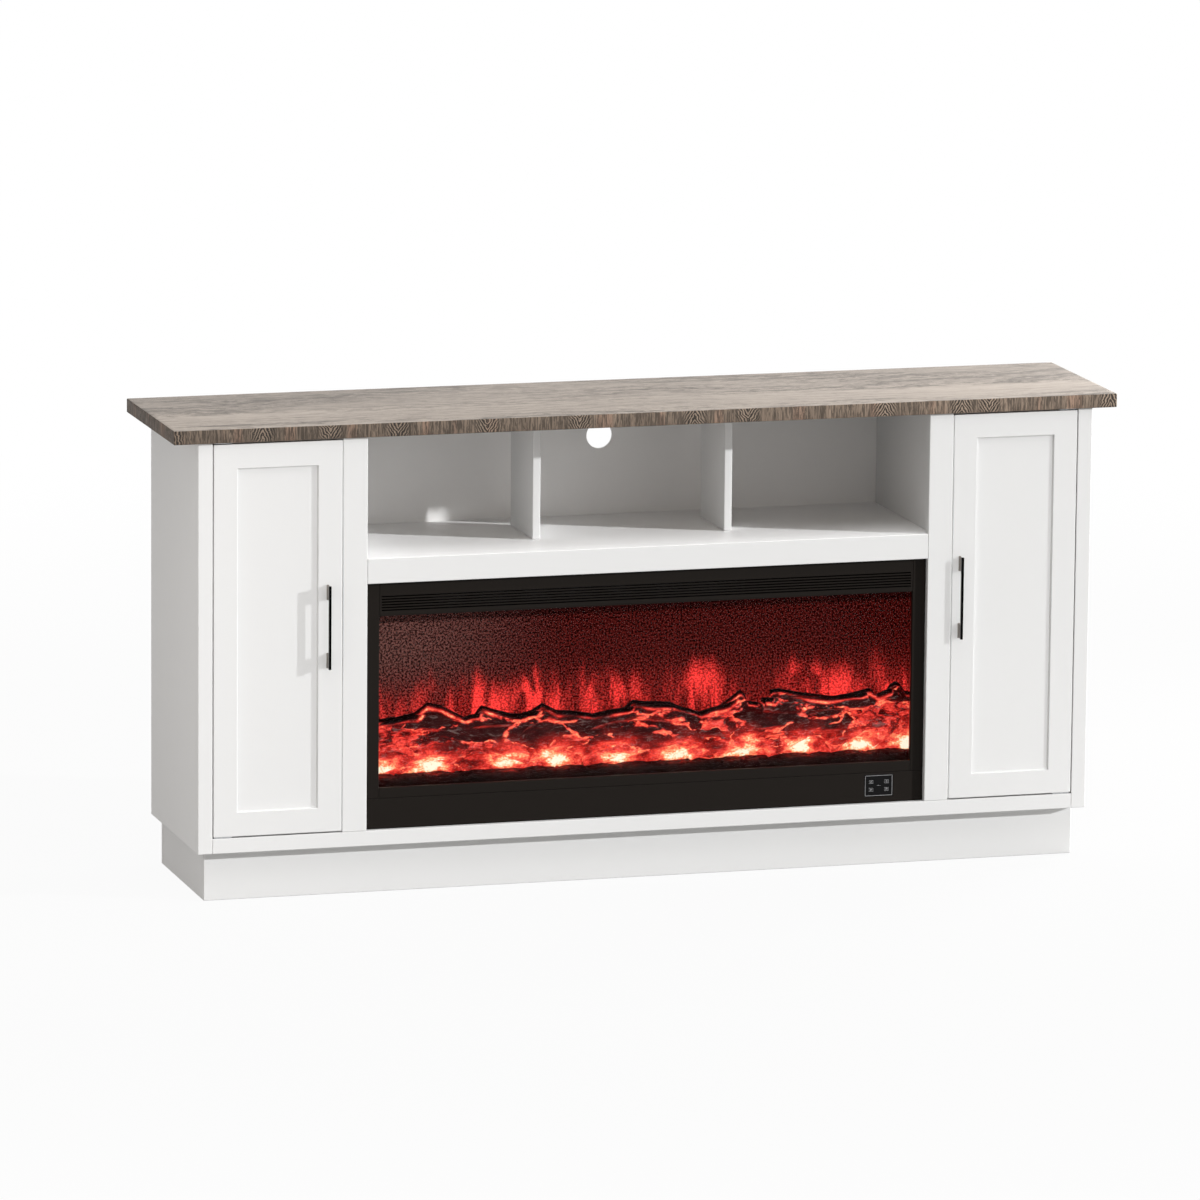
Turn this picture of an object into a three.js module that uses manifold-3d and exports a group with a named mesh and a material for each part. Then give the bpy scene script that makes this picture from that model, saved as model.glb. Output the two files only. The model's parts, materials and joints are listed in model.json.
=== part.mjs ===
// Fireplace TV stand: a cabinet with two doors, three open cubbies and an electric fire.
// Millimetres, +Z up, front towards -Y, resting on Z = 0, centred on its own bounding box.
import * as THREE from 'three';
import { ConvexGeometry } from 'three/addons/geometries/ConvexGeometry.js';
import { mergeVertices } from 'three/addons/utils/BufferGeometryUtils.js';
import Module from 'manifold-3d';

const wasm = await Module();
wasm.setup();

// Overall sizes: 78 x 16 x 38 inches over the top slab.
const slab_width = 1981.2;
const slab_depth = 406.4;
const stand_height = 965.2;
const slab_thickness = 28.3;

// How far the slab reaches past the body.
const side_overhang = 50.6;
const front_overhang = 7;

// Boards of the body.
const board_thickness = 16;
const frame_thickness = 18;
const back_panel_thickness = 5;
const back_panel_inset = 21;
const edge_ease = 0.8;
const seam = 0.3;
const cut_overrun = 5;

// Plinth under the body.
const plinth_height = 101.3;
const plinth_side_inset = 19.2;
const plinth_front_inset = 30;
const plinth_back_inset = 10.8;

// Front frame.
const outer_stile_width = 30;
const inner_stile_width = 50.5;
const centre_half_width = 591;
const partition_setback = 9;
const bottom_rail_height = 30.6;
const fire_opening_height = 505.8;
const middle_rail_height = 51.3;

// Cubbies above the fire.
const divider_offset = 203;
const divider_front_setback = 130;
const divider_depth = 164;
const cable_hole_diameter = 55;
const cable_hole_rise_share = 0.715;

// Shelves in the two cabinets.
const cabinet_shelf_front_setback = 60;
const cabinet_shelf_height_share = 0.5;

// Doors.
const door_thickness = 20;
const door_side_gap = 2;
const door_bottom_gap = 3;
const door_top_gap = 4;
const door_frame_width = 49;
const door_recess_depth = 6;
const door_bevel_width = 1.5;

// Pivot hinges at the top and bottom of each door.
const pivot_inset = 20;
const pivot_pin_diameter = 6;
const pivot_pin_reach = 11;
const pivot_bore_clearance = 0.3;
const pivot_plate_length = 36;
const pivot_plate_width = 14;
const pivot_plate_thickness = 2;

// Handles.
const handle_length = 170;
const handle_bar_width = 5;
const handle_bar_depth = 6;
const handle_standoff = 21.6;
const handle_edge_distance = 22.7;
const handle_side_shift = 6.9;
const handle_centre_share = 0.44;
const handle_post_height = 31;
const handle_post_width = 5;

// Front of the fire.
const insert_setback = 11;
const insert_gap = 1;
const bezel_depth = 12;
const bezel_side_width = 27;
const bezel_sill_height = 21.5;
const lower_fascia_height = 62;
const grille_height = 68;
const grille_slot_count = 6;
const grille_slot_pitch = 5.6;
const grille_slot_height = 2.8;
const grille_slot_top_drop = 27;
const grille_slot_end_margin = 4;
const glass_thickness = 4;
const glass_setback = 5;

// Case of the fire.
const case_wall = 2;
const case_depth = 190;
const case_side_gap = 2;
const case_top_gap = 14;
const case_vent_count = 9;
const case_vent_width = 60;
const case_vent_height = 6;
const case_vent_pitch = 90;
const case_vent_drop = 26;

// Flame screen, ember bed, logs and lights.
const screen_thickness = 3;
const screen_setback = 92;
const screen_edge_gap = 0.4;
const ember_back_gap = 0.4;
const ember_height = 34;
const ember_front_gap = 18;
const ember_end_gap = 10;
const ember_columns = 48;
const ember_rows = 5;
const ember_lump_height = 4;
const log_ring_count = 9;
const log_side_count = 9;
const log_reach = 556;
const log_radius = 17;
const log_rise = 92;
const log_front_y = 33;
const log_back_y = 52;
const log_sink = 12;
const log_taper_share = 0.8;
const log_knot_share = 0.12;
const log_swell_share = 0.1;
const log_foot_share = 1.3;
const ridge_reach = 591;
const ridge_rise = 142;
const ridge_back_y = 66;
const ridge_half_depth = 9;
const ridge_knot_share = 0.18;
const light_board_depth = 12;
const light_board_thickness = 2;
const light_count = 10;
const light_diameter = 8;
const light_height = 6;
const light_end_margin = 22.5;
const light_board_end_margin = 20;

// Turning rod that makes the flames flicker.
const spinner_core_diameter = 6;
const spinner_fin_reach = 14;
const spinner_fin_thickness = 1;
const spinner_fin_length = 24;
const spinner_fin_count = 30;
const spinner_setback = 132;
const spinner_height = 46;
const spinner_end_reach = 14;
const bearing_clearance = 0.3;
const motor_diameter = 40;
const motor_length = 24;
const motor_foot_width = 26;
const motor_bore_depth = 8;

// Warm air blower and heater behind the grille.
const blower_diameter = 40;
const blower_length = 300;
const blower_blade_count = 12;
const blower_blade_thickness = 1.2;
const blower_disc_thickness = 2;
const blower_hub_diameter = 10;
const blower_shaft_diameter = 5;
const blower_setback = 60;
const blower_end_gap = 16;
const blower_motor_diameter = 46;
const blower_motor_length = 42;
const heater_depth = 14;
const heater_height = 34;
const heater_fin_count = 24;
const heater_fin_gap_share = 0.5;
const heater_fin_depth_share = 0.3;
const heater_setback = 12;

// Control panel and keys.
const panel_width = 62;
const panel_height = 46;
const panel_thickness = 3;
const panel_side_margin = 63;
const panel_rise = 3.9;
const panel_proud = 0.5;
const key_width = 10;
const key_height = 8;
const key_side_clearance = 0.35;
const key_pitch_x = 33;
const key_pitch_z = 16;
const key_thickness = 4;
const key_proud = 0.9;

// Power inlet in the back of the case.
const inlet_width = 27;
const inlet_height = 20;
const inlet_depth = 22;
const inlet_flange = 4;
const inlet_flange_thickness = 3;
const inlet_wall = 2.5;
const inlet_pin_width = 2;
const inlet_pin_height = 4;
const inlet_pin_pitch = 7;
const inlet_side_margin = 90;
const inlet_rise = 34;

// Places worked out from the sizes above.
const slab_bottom = stand_height - slab_thickness;
const body_half_width = slab_width / 2 - side_overhang;
const front_face = -slab_depth / 2 + front_overhang;
const back_face = slab_depth / 2;
const frame_back = front_face + frame_thickness;
const carcass_front = frame_back + seam;
const body_bottom = plinth_height + seam;
const body_top = slab_bottom - seam;
const floor_top = body_bottom + board_thickness;
const side_inner = body_half_width - board_thickness;
const partition_inner = centre_half_width + partition_setback;
const partition_outer = partition_inner + board_thickness;
const outer_stile_inner = body_half_width - outer_stile_width;
const inner_stile_outer = centre_half_width + inner_stile_width;
const fire_bottom = body_bottom + bottom_rail_height;
const fire_top = fire_bottom + fire_opening_height;
const cubby_bottom = fire_top + middle_rail_height;
const shelf_bottom = cubby_bottom - board_thickness;
const back_panel_back = back_face - back_panel_inset;
const back_panel_front = back_panel_back - back_panel_thickness;
const door_outer = outer_stile_inner - door_side_gap;
const door_inner = inner_stile_outer + door_side_gap;
const door_bottom = fire_bottom + door_bottom_gap;
const door_top = slab_bottom - door_top_gap;
const door_width = door_outer - door_inner;
const door_height = door_top - door_bottom;
const pivot_x = door_outer - pivot_inset;
const pivot_y = front_face + door_thickness / 2;
const insert_front = front_face + insert_setback;
const insert_half_width = centre_half_width - insert_gap;
const insert_bottom = fire_bottom + insert_gap;
const insert_top = fire_top - insert_gap;
const bezel_back = insert_front + bezel_depth;
const fascia_top = insert_bottom + lower_fascia_height;
const sill_top = fascia_top + seam + bezel_sill_height;
const grille_bottom = insert_top - grille_height;
const glass_half_width = insert_half_width - bezel_side_width;
const case_front = bezel_back + seam;
const case_back = case_front + case_depth;
const case_half_width = partition_inner - case_side_gap;
const case_bottom = floor_top + seam;
const case_top = shelf_bottom - case_top_gap;
const case_inner_half_width = case_half_width - case_wall;
const fire_floor = fascia_top + case_wall;
const fire_roof = grille_bottom - case_wall;
const screen_front = insert_front + screen_setback;
const ember_front = case_front + ember_front_gap;
const ember_depth = screen_front - ember_back_gap - ember_front;
const frame_shift = (handle_standoff - front_overhang) / 2;

// One satin white for every painted board, and the other finishes.
function finish(color, roughness, metalness) {
  return new THREE.MeshStandardMaterial({ color, roughness, metalness, flatShading: true });
}
const white_paint = () => finish(0xededec, 0.45, 0);
const oak = () => finish(0x8a7f76, 0.6, 0);
const backing = () => finish(0xe4e2df, 0.6, 0);
const steel = () => finish(0xb9b4ac, 0.3, 1);
const black_metal = () => finish(0x24221f, 0.5, 0.4);
const black_plastic = () => finish(0x1b1a18, 0.4, 0);
const dark_glass = () => finish(0x20100e, 0.08, 0);

// Solids for cutting and joining.
function solid(geometry) {
  const bare = geometry.clone();
  bare.deleteAttribute('normal');
  bare.deleteAttribute('uv');
  const merged = mergeVertices(bare, edge_ease / 1000);
  return new wasm.Manifold(new wasm.Mesh({
    numProp: 3,
    vertProperties: new Float32Array(merged.attributes.position.array),
    triVerts: new Uint32Array(merged.index.array),
  }));
}

function geometryOf(manifold) {
  const mesh = manifold.getMesh();
  const geometry = new THREE.BufferGeometry();
  geometry.setAttribute('position', new THREE.BufferAttribute(mesh.vertProperties, mesh.numProp));
  geometry.setIndex(new THREE.BufferAttribute(mesh.triVerts, 1));
  return geometry;
}

function joined(geometries) {
  return geometries.map(solid).reduce((whole, piece) => whole.add(piece));
}

// Fills the pockets that pieces lying against each other close in: their shells are inside out.
function withoutPockets(manifold) {
  const outer = manifold.decompose().filter((shell) => shell.volume() > 0);
  return outer.reduce((whole, piece) => whole.add(piece));
}

// Every mesh joins the group that it belongs to.
function place(group, name, geometry, material, at = [0, 0, 0]) {
  const mesh = new THREE.Mesh(geometry, material);
  mesh.name = name;
  mesh.position.set(...at);
  group.add(mesh);
  return mesh;
}

function middle([from, to]) {
  return (from + to) / 2;
}

function length([from, to]) {
  return to - from;
}

// A box between three pairs of planes, for cuts and plain parts.
function block(x, y, z) {
  const geometry = new THREE.BoxGeometry(length(x), length(y), length(z));
  return geometry.translate(middle(x), middle(y), middle(z));
}

// A box whose edges are all eased by a small flat, centred on its own origin.
function easedBox(width, depth, height, ease = edge_ease) {
  const flat = Math.min(ease, width / 4, depth / 4, height / 4);
  const points = [];
  for (const sx of [-1, 1]) {
    for (const sy of [-1, 1]) {
      for (const sz of [-1, 1]) {
        const [x, y, z] = [sx * width / 2, sy * depth / 2, sz * height / 2];
        points.push(new THREE.Vector3(x, y - sy * flat, z - sz * flat));
        points.push(new THREE.Vector3(x - sx * flat, y, z - sz * flat));
        points.push(new THREE.Vector3(x - sx * flat, y - sy * flat, z));
      }
    }
  }
  return new ConvexGeometry(points);
}

// A board between three pairs of planes, with eased edges, placed at its middle.
function board(group, name, x, y, z, material) {
  const geometry = easedBox(length(x), length(y), length(z));
  return place(group, name, geometry, material, [middle(x), middle(y), middle(z)]);
}

// A pair of planes on one side of the middle, mirrored by its sign.
function sided(side, inner, outer) {
  return side > 0 ? [inner, outer] : [-outer, -inner];
}

// A round bar along X, Y or Z, centred on a point.
function rod(diameter, span, axis, at, sides = 16) {
  const geometry = new THREE.CylinderGeometry(diameter / 2, diameter / 2, span, sides);
  if (axis === 'x') geometry.rotateZ(Math.PI / 2);
  if (axis === 'z') geometry.rotateX(Math.PI / 2);
  return geometry.translate(...at);
}

const sides = [['left', -1], ['right', 1]];
const stand = new THREE.Group();
stand.position.y = frame_shift;

// Top slab, which the television stands on.
function addSlab(group) {
  board(group, 'top_slab', [-slab_width / 2, slab_width / 2], [-slab_depth / 2, slab_depth / 2],
    [slab_bottom, stand_height], oak());
}

// Plinth: front and back boards with the two sides between them.
function addPlinth(group) {
  const half = body_half_width - plinth_side_inset;
  const front = front_face + plinth_front_inset;
  const back = back_face - plinth_back_inset;
  const z = [0, plinth_height];
  board(group, 'plinth_front', [-half, half], [front, front + board_thickness], z, white_paint());
  board(group, 'plinth_back', [-half, half], [back - board_thickness, back], z, white_paint());
  for (const [name, side] of sides) {
    board(group, `plinth_${name}`, sided(side, half - board_thickness, half),
      [front + board_thickness + seam, back - board_thickness - seam], z, white_paint());
  }
}

// Carcass: floor, sides, partitions and the shelf over the fire.
function addCarcass(group) {
  const deep = [carcass_front, back_face];
  board(group, 'floor_board', [-side_inner + seam, side_inner - seam], deep, [body_bottom, floor_top],
    white_paint());
  for (const [name, side] of sides) {
    board(group, `${name}_side_panel`, sided(side, side_inner, body_half_width), deep,
      [body_bottom, body_top], white_paint());
    board(group, `${name}_partition`, sided(side, partition_inner, partition_outer), deep,
      [floor_top + seam, body_top], white_paint());
  }
  const shelf_half = partition_inner - seam;
  board(group, 'centre_shelf', [-shelf_half, shelf_half], [carcass_front, back_panel_front - seam],
    [shelf_bottom, cubby_bottom], white_paint());
}

// Front frame: two stiles beside each door, a bottom rail and a rail over the fire.
function addFrontFrame(group) {
  const deep = [front_face, frame_back];
  for (const [name, side] of sides) {
    board(group, `${name}_outer_stile`, sided(side, outer_stile_inner, body_half_width), deep,
      [body_bottom, body_top], white_paint());
    board(group, `${name}_inner_stile`, sided(side, centre_half_width, inner_stile_outer), deep,
      [fire_bottom + seam, body_top], white_paint());
  }
  const rail_half = outer_stile_inner - seam;
  board(group, 'bottom_rail', [-rail_half, rail_half], deep, [body_bottom, fire_bottom], white_paint());
  const middle_half = centre_half_width - seam;
  board(group, 'middle_rail', [-middle_half, middle_half], deep, [fire_top, cubby_bottom], white_paint());
}

// Cubby dividers, which stop short of the back panel.
function addDividers(group) {
  const front = front_face + divider_front_setback;
  for (const [name, side] of sides) {
    const x = [divider_offset - board_thickness / 2, divider_offset + board_thickness / 2];
    board(group, `${name}_divider`, sided(side, ...x), [front, front + divider_depth],
      [cubby_bottom + seam, body_top], white_paint());
  }
}

// Thin back panels. The upper one has the round cable hole.
function addBackPanels(group) {
  const deep = [back_panel_front, back_panel_back];
  for (const [name, side] of sides) {
    place(group, `${name}_back_panel`,
      block(sided(side, partition_outer + seam, side_inner - seam), deep, [floor_top + seam, body_top]),
      backing());
  }
  const half = partition_inner - seam;
  const spare_height = slab_bottom - cubby_bottom - cable_hole_diameter;
  const hole_z = cubby_bottom + cable_hole_diameter / 2 + spare_height * cable_hole_rise_share;
  const panel = solid(block([-half, half], deep, [shelf_bottom, body_top]));
  const hole = rod(cable_hole_diameter, back_panel_thickness + cut_overrun, 'y',
    [0, middle(deep), hole_z], 40);
  place(group, 'upper_back_panel', geometryOf(panel.subtract(solid(hole))), backing());
}

// One shelf in each cabinet, clear of the swinging edge of its door.
function addCabinetShelves(group) {
  const z = floor_top + (body_top - floor_top) * cabinet_shelf_height_share;
  for (const [name, side] of sides) {
    board(group, `${name}_cabinet_shelf`, sided(side, partition_outer + seam, side_inner - seam),
      [front_face + cabinet_shelf_front_setback, back_panel_front - seam], [z, z + board_thickness],
      white_paint());
  }
}

// A four-sided cutter that is wide at the front and narrower at the bottom of the recess.
function recessCutter(x, z) {
  const slope = door_bevel_width / door_recess_depth;
  const points = [];
  const rims = [[-cut_overrun, cut_overrun * slope], [door_recess_depth, -door_bevel_width]];
  for (const [depth, spread] of rims) {
    for (const px of [x[0] - spread, x[1] + spread]) {
      for (const pz of [z[0] - spread, z[1] + spread]) {
        points.push(new THREE.Vector3(px, front_face + depth, pz));
      }
    }
  }
  return new ConvexGeometry(points);
}

// Door: one routed board with a sunk panel on the front and a pivot bore at each end.
function addDoor(group, name, side) {
  const x = sided(side, door_inner, door_outer);
  const z = [door_bottom, door_top];
  const body = easedBox(door_width, door_thickness, door_height)
    .translate(middle(x), pivot_y, middle(z));
  const recess = recessCutter([x[0] + door_frame_width, x[1] - door_frame_width],
    [z[0] + door_frame_width, z[1] - door_frame_width]);
  const bore_diameter = pivot_pin_diameter + 2 * pivot_bore_clearance;
  let door = solid(body).subtract(solid(recess));
  for (const end of z) {
    const bore = rod(bore_diameter, 2 * (pivot_pin_reach + seam), 'z', [side * pivot_x, pivot_y, end]);
    door = door.subtract(solid(bore));
  }
  place(group, `${name}_door`, geometryOf(door), white_paint());
}

// Pull handle: a flat bar on two flat posts. Both handles sit a little to the left on their doors.
function addHandle(group, name, side) {
  const x = side * (door_inner + handle_edge_distance) - handle_side_shift;
  const bar_y = front_face - handle_standoff + handle_bar_depth / 2;
  const centre_z = door_bottom + door_height * handle_centre_share
    + handle_length / 2 - handle_post_height / 2;
  place(group, `${name}_handle_bar`, easedBox(handle_bar_width, handle_bar_depth, handle_length), steel(),
    [x, bar_y, centre_z]);
  const post_y = [bar_y + handle_bar_depth / 2 + seam, front_face - seam];
  const post_half_pitch = (handle_length - handle_post_height) / 2;
  for (const [level, sign] of [['upper', 1], ['lower', -1]]) {
    place(group, `${name}_handle_${level}_post`,
      easedBox(handle_post_width, length(post_y), handle_post_height), steel(),
      [x, middle(post_y), centre_z + sign * post_half_pitch]);
  }
}

// Pivot plates with their pins: one under the slab, one on the bottom rail.
function addPivots(group, name, side) {
  const x = [pivot_x - pivot_plate_length / 2, pivot_x + pivot_plate_length / 2];
  const y = [pivot_y - pivot_plate_width / 2, pivot_y + pivot_plate_width / 2];
  const upper_z = [slab_bottom - seam - pivot_plate_thickness, slab_bottom - seam];
  const lower_z = [fire_bottom + seam, fire_bottom + seam + pivot_plate_thickness];
  const upper_pin = [door_top - pivot_pin_reach, upper_z[1]];
  const lower_pin = [lower_z[0], door_bottom + pivot_pin_reach];
  for (const [level, z, pin] of [['upper', upper_z, upper_pin], ['lower', lower_z, lower_pin]]) {
    const shaft = rod(pivot_pin_diameter, length(pin), 'z', [side * pivot_x, pivot_y, middle(pin)]);
    place(group, `${name}_${level}_pivot`, geometryOf(joined([block(sided(side, ...x), y, z), shaft])),
      steel());
  }
}

// Case of the fire: three bays open to the front, for the electrics, the fire and the heater.
function addFireCase(group) {
  const deep = [case_front, case_back];
  const inside = [case_front - cut_overrun, case_back - case_wall];
  const across = [-case_inner_half_width, case_inner_half_width];
  const shell_block = solid(block([-case_half_width, case_half_width], deep, [case_bottom, case_top]));
  let shell = shell_block.subtract(solid(block(across, inside,
    [case_bottom + case_wall, case_top - case_wall])));
  const through_back = [case_back - case_wall - cut_overrun, case_back + cut_overrun];
  const vent_z = case_top - case_vent_drop;
  for (let i = 0; i < case_vent_count; i += 1) {
    const x = (i - (case_vent_count - 1) / 2) * case_vent_pitch;
    shell = shell.subtract(solid(block([x - case_vent_width / 2, x + case_vent_width / 2], through_back,
      [vent_z - case_vent_height / 2, vent_z + case_vent_height / 2])));
  }
  const [inlet_x, inlet_z] = inletPlace();
  shell = shell.subtract(solid(block(
    [inlet_x - inlet_width / 2 - seam, inlet_x + inlet_width / 2 + seam], through_back,
    [inlet_z - inlet_height / 2 - seam, inlet_z + inlet_height / 2 + seam])));
  const hole_diameter = spinner_core_diameter + 2 * bearing_clearance;
  const [spinner_y, spinner_z] = spinnerPlace();
  shell = shell.subtract(solid(rod(hole_diameter, 2 * case_wall + cut_overrun, 'x',
    [case_half_width, spinner_y, spinner_z])));
  const shaft_hole = blower_shaft_diameter + 2 * bearing_clearance;
  const [blower_y, blower_z] = blowerPlace();
  shell = shell.subtract(solid(rod(shaft_hole, 2 * case_wall + cut_overrun, 'x',
    [case_half_width, blower_y, blower_z])));
  place(group, 'fire_case', geometryOf(shell), black_metal());

  const plate_across = [-case_inner_half_width + seam, case_inner_half_width - seam];
  const plate_deep = [case_front, case_back - case_wall - seam];
  board(group, 'fire_floor_plate', plate_across, plate_deep, [fascia_top, fire_floor], black_metal());
  board(group, 'fire_roof_plate', plate_across, plate_deep, [fire_roof, grille_bottom], black_metal());
}

function inletPlace() {
  return [case_half_width - inlet_side_margin, case_bottom + inlet_rise];
}

function spinnerPlace() {
  return [insert_front + spinner_setback, fire_floor + spinner_height];
}

function blowerPlace() {
  return [case_front + blower_setback, (grille_bottom + case_top - case_wall) / 2];
}

function panelPlace() {
  const x = insert_half_width - panel_side_margin - panel_width / 2;
  return [x, middle([insert_bottom, fascia_top]) + panel_rise];
}

// Front strips round the glass.
function addBezel(group) {
  const deep = [insert_front, bezel_back];
  for (const [name, side] of sides) {
    board(group, `bezel_${name}`, sided(side, glass_half_width, insert_half_width), deep,
      [fascia_top + seam, insert_top], black_metal());
  }
  const between = [-glass_half_width + seam, glass_half_width - seam];
  board(group, 'bezel_sill', between, deep, [fascia_top + seam, sill_top], black_metal());

  const bar = easedBox(length(between), bezel_depth, grille_height)
    .translate(0, middle(deep), middle([grille_bottom, insert_top]));
  let grille = solid(bar);
  const slot_x = [between[0] + grille_slot_end_margin, between[1] - grille_slot_end_margin];
  for (let i = 0; i < grille_slot_count; i += 1) {
    const top = insert_top - grille_slot_top_drop - i * grille_slot_pitch;
    const slot = block(slot_x, [insert_front - cut_overrun, bezel_back + cut_overrun],
      [top - grille_slot_height, top]);
    grille = grille.subtract(solid(slot));
  }
  place(group, 'louvre_grille', geometryOf(grille), black_metal());

  const [panel_x, panel_z] = panelPlace();
  const fascia_box = easedBox(2 * insert_half_width, bezel_depth, lower_fascia_height)
    .translate(0, middle(deep), middle([insert_bottom, fascia_top]));
  const window = block([panel_x - panel_width / 2 - seam, panel_x + panel_width / 2 + seam],
    [insert_front - cut_overrun, bezel_back + cut_overrun],
    [panel_z - panel_height / 2 - seam, panel_z + panel_height / 2 + seam]);
  place(group, 'lower_fascia', geometryOf(solid(fascia_box).subtract(solid(window))), black_metal());
}

function addGlass(group) {
  const front = insert_front + glass_setback;
  board(group, 'fire_glass', [-glass_half_width + seam, glass_half_width - seam],
    [front, front + glass_thickness], [sill_top + seam, grille_bottom - seam], dark_glass());
}

// Control panel in the lower fascia, with a square hole for each key.
function addControls(group) {
  const [panel_x, panel_z] = panelPlace();
  const front = insert_front - panel_proud;
  const plate = easedBox(panel_width, panel_thickness, panel_height)
    .translate(panel_x, front + panel_thickness / 2, panel_z);
  let panel = solid(plate);
  const keys = [['power_key', -1, 1], ['flame_key', 1, 1], ['heat_key', -1, -1], ['timer_key', 1, -1]];
  for (const [name, across, up] of keys) {
    const x = panel_x + across * key_pitch_x / 2;
    const z = panel_z + up * key_pitch_z / 2;
    const half_x = key_width / 2 + key_side_clearance;
    const half_z = key_height / 2 + key_side_clearance;
    panel = panel.subtract(solid(block([x - half_x, x + half_x],
      [front - cut_overrun, front + panel_thickness + cut_overrun], [z - half_z, z + half_z])));
    place(group, name, easedBox(key_width, key_thickness, key_height), black_plastic(),
      [x, front - key_proud + key_thickness / 2, z]);
  }
  place(group, 'control_panel', geometryOf(panel), black_plastic());
}

// Translucent screen behind the logs, on which the flames show.
function addFlameScreen(group) {
  const half = case_inner_half_width - screen_edge_gap;
  place(group, 'flame_screen', block([-half, half], [screen_front, screen_front + screen_thickness],
    [fire_floor + screen_edge_gap, fire_roof - screen_edge_gap]), finish(0x7a1410, 0.6, 0));
}

// A closed sheet of lumps over a flat underside, for the ember bed.
function lumpyBed(width, depth, height) {
  const positions = [];
  const faces = [];
  const stride = ember_rows + 1;
  const layer = (ember_columns + 1) * stride;
  for (const top of [0, 1]) {
    for (let i = 0; i <= ember_columns; i += 1) {
      for (let j = 0; j <= ember_rows; j += 1) {
        const inner = i > 0 && i < ember_columns && j > 0 && j < ember_rows;
        const wave = Math.sin(i * 2.7 + j * 1.9) * Math.cos(i * 1.3 - j * 2.3);
        const lump = inner ? ember_lump_height * wave : -ember_lump_height;
        positions.push(width * (i / ember_columns - 0.5), depth * (j / ember_rows - 0.5),
          top * (height - ember_lump_height + lump));
      }
    }
  }
  const quad = (a, b, c, d) => faces.push(a, b, c, a, c, d);
  for (let i = 0; i < ember_columns; i += 1) {
    for (let j = 0; j < ember_rows; j += 1) {
      const a = i * stride + j;
      quad(layer + a, layer + a + stride, layer + a + stride + 1, layer + a + 1);
      quad(a, a + 1, a + stride + 1, a + stride);
    }
  }
  for (let i = 0; i < ember_columns; i += 1) {
    const a = i * stride;
    quad(a, a + stride, layer + a + stride, layer + a);
    const b = a + ember_rows;
    quad(b + stride, b, layer + b, layer + b + stride);
  }
  for (let j = 0; j < ember_rows; j += 1) {
    quad(j + 1, j, layer + j, layer + j + 1);
    const b = ember_columns * stride + j;
    quad(b, b + 1, layer + b + 1, layer + b);
  }
  const geometry = new THREE.BufferGeometry();
  geometry.setAttribute('position', new THREE.Float32BufferAttribute(positions, 3));
  geometry.setIndex(faces);
  return geometry;
}

function addEmbers(group) {
  const width = 2 * (case_inner_half_width - ember_end_gap);
  return place(group, 'ember_bed', lumpyBed(width, ember_depth, ember_height), finish(0x5a1c10, 0.9, 0),
    [0, ember_front + ember_depth / 2, fire_floor + seam]);
}

// Where each log lies: three points along it as shares of the reach and the rise, its depth at both
// ends as shares of the way from the front row to the back, and its radius as a share.
const log_place_shares = [
  [-1, 0.5, 0, 0.55, 1, 0.5, 1, 1, 1.35],
  [-1, 0.8, -0.82, 1, -0.6, 0.62, 0.8, 0.6, 1],
  [-0.68, 0.66, -0.6, 0.97, -0.33, 0.72, 0.8, 0.7, 0.9],
  [-0.48, 0.55, -0.375, 1, -0.12, 0.76, 0.6, 0.8, 1],
  [-0.22, 0.74, 0.02, 1, 0.24, 0.76, 0.7, 0.7, 1.05],
  [0.17, 0.74, 0.28, 0.86, 0.39, 1.06, 0.7, 0.5, 0.95],
  [0.47, 1.04, 0.68, 0.96, 0.88, 1, 0.65, 0.65, 1.1],
  [0.86, 0.8, 0.95, 1.06, 1, 0.98, 0.7, 0.7, 0.9],
  [-1, 0.25, -0.85, 0.5, -0.72, 0.78, 0.2, 0.5, 0.85],
  [-0.76, 0.8, -0.6, 0.52, -0.42, 0.1, 0.5, 0.1, 0.85],
  [-0.98, 0.08, -0.84, 0.26, -0.6, 0.44, 0.1, 0.2, 0.85],
  [-0.36, 0.42, -0.24, 0.5, -0.1, 0.5, 0.2, 0.3, 0.85],
  [-0.22, 0, -0.02, 0.22, 0.2, 0.44, 0, 0.3, 0.85],
  [-0.02, 0.52, 0.12, 0.5, 0.24, 0.34, 0.3, 0.2, 0.7],
  [0.18, 0, 0.34, 0.18, 0.54, 0.14, 0, 0, 0.8],
  [0.4, 0.6, 0.52, 0.64, 0.64, 0.6, 0.3, 0.3, 0.95],
  [0.48, 0, 0.62, 0.34, 0.76, 0.9, 0, 0.6, 0.9],
  [0.72, 0, 0.84, 0.46, 0.92, 0.94, 0, 0.65, 0.9],
  [0.88, 0, 0.95, 0.34, 1, 0.6, 0.1, 0.4, 0.8],
];

// Where the top of the ridge behind the logs runs, as shares of its reach and its rise.
const ridge_edge_shares = [
  [-1, 0.77], [-0.914, 0.78], [-0.853, 0.8], [-0.792, 0.85], [-0.746, 0.99], [-0.701, 0.94],
  [-0.651, 0.83], [-0.604, 0.73], [-0.584, 0.76], [-0.555, 0.91], [-0.523, 0.86], [-0.482, 0.81],
  [-0.442, 0.76], [-0.416, 0.76], [-0.376, 0.8], [-0.338, 0.9], [-0.288, 0.79], [-0.237, 0.76],
  [-0.184, 0.72], [-0.115, 0.64], [-0.073, 0.68], [-0.012, 0.88], [0.032, 0.85], [0.115, 0.83],
  [0.161, 0.75], [0.201, 0.67], [0.249, 0.66], [0.31, 0.76], [0.374, 0.95], [0.391, 0.88],
  [0.399, 0.78], [0.475, 0.73], [0.484, 0.93], [0.514, 0.94], [0.592, 0.87], [0.651, 0.83],
  [0.709, 0.79], [0.773, 0.82], [0.843, 0.88], [0.854, 0.85], [0.87, 0.71], [0.898, 0.78],
  [0.919, 0.92], [0.937, 0.96], [0.953, 0.93], [0.971, 0.81], [1, 0.79],
];

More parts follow.
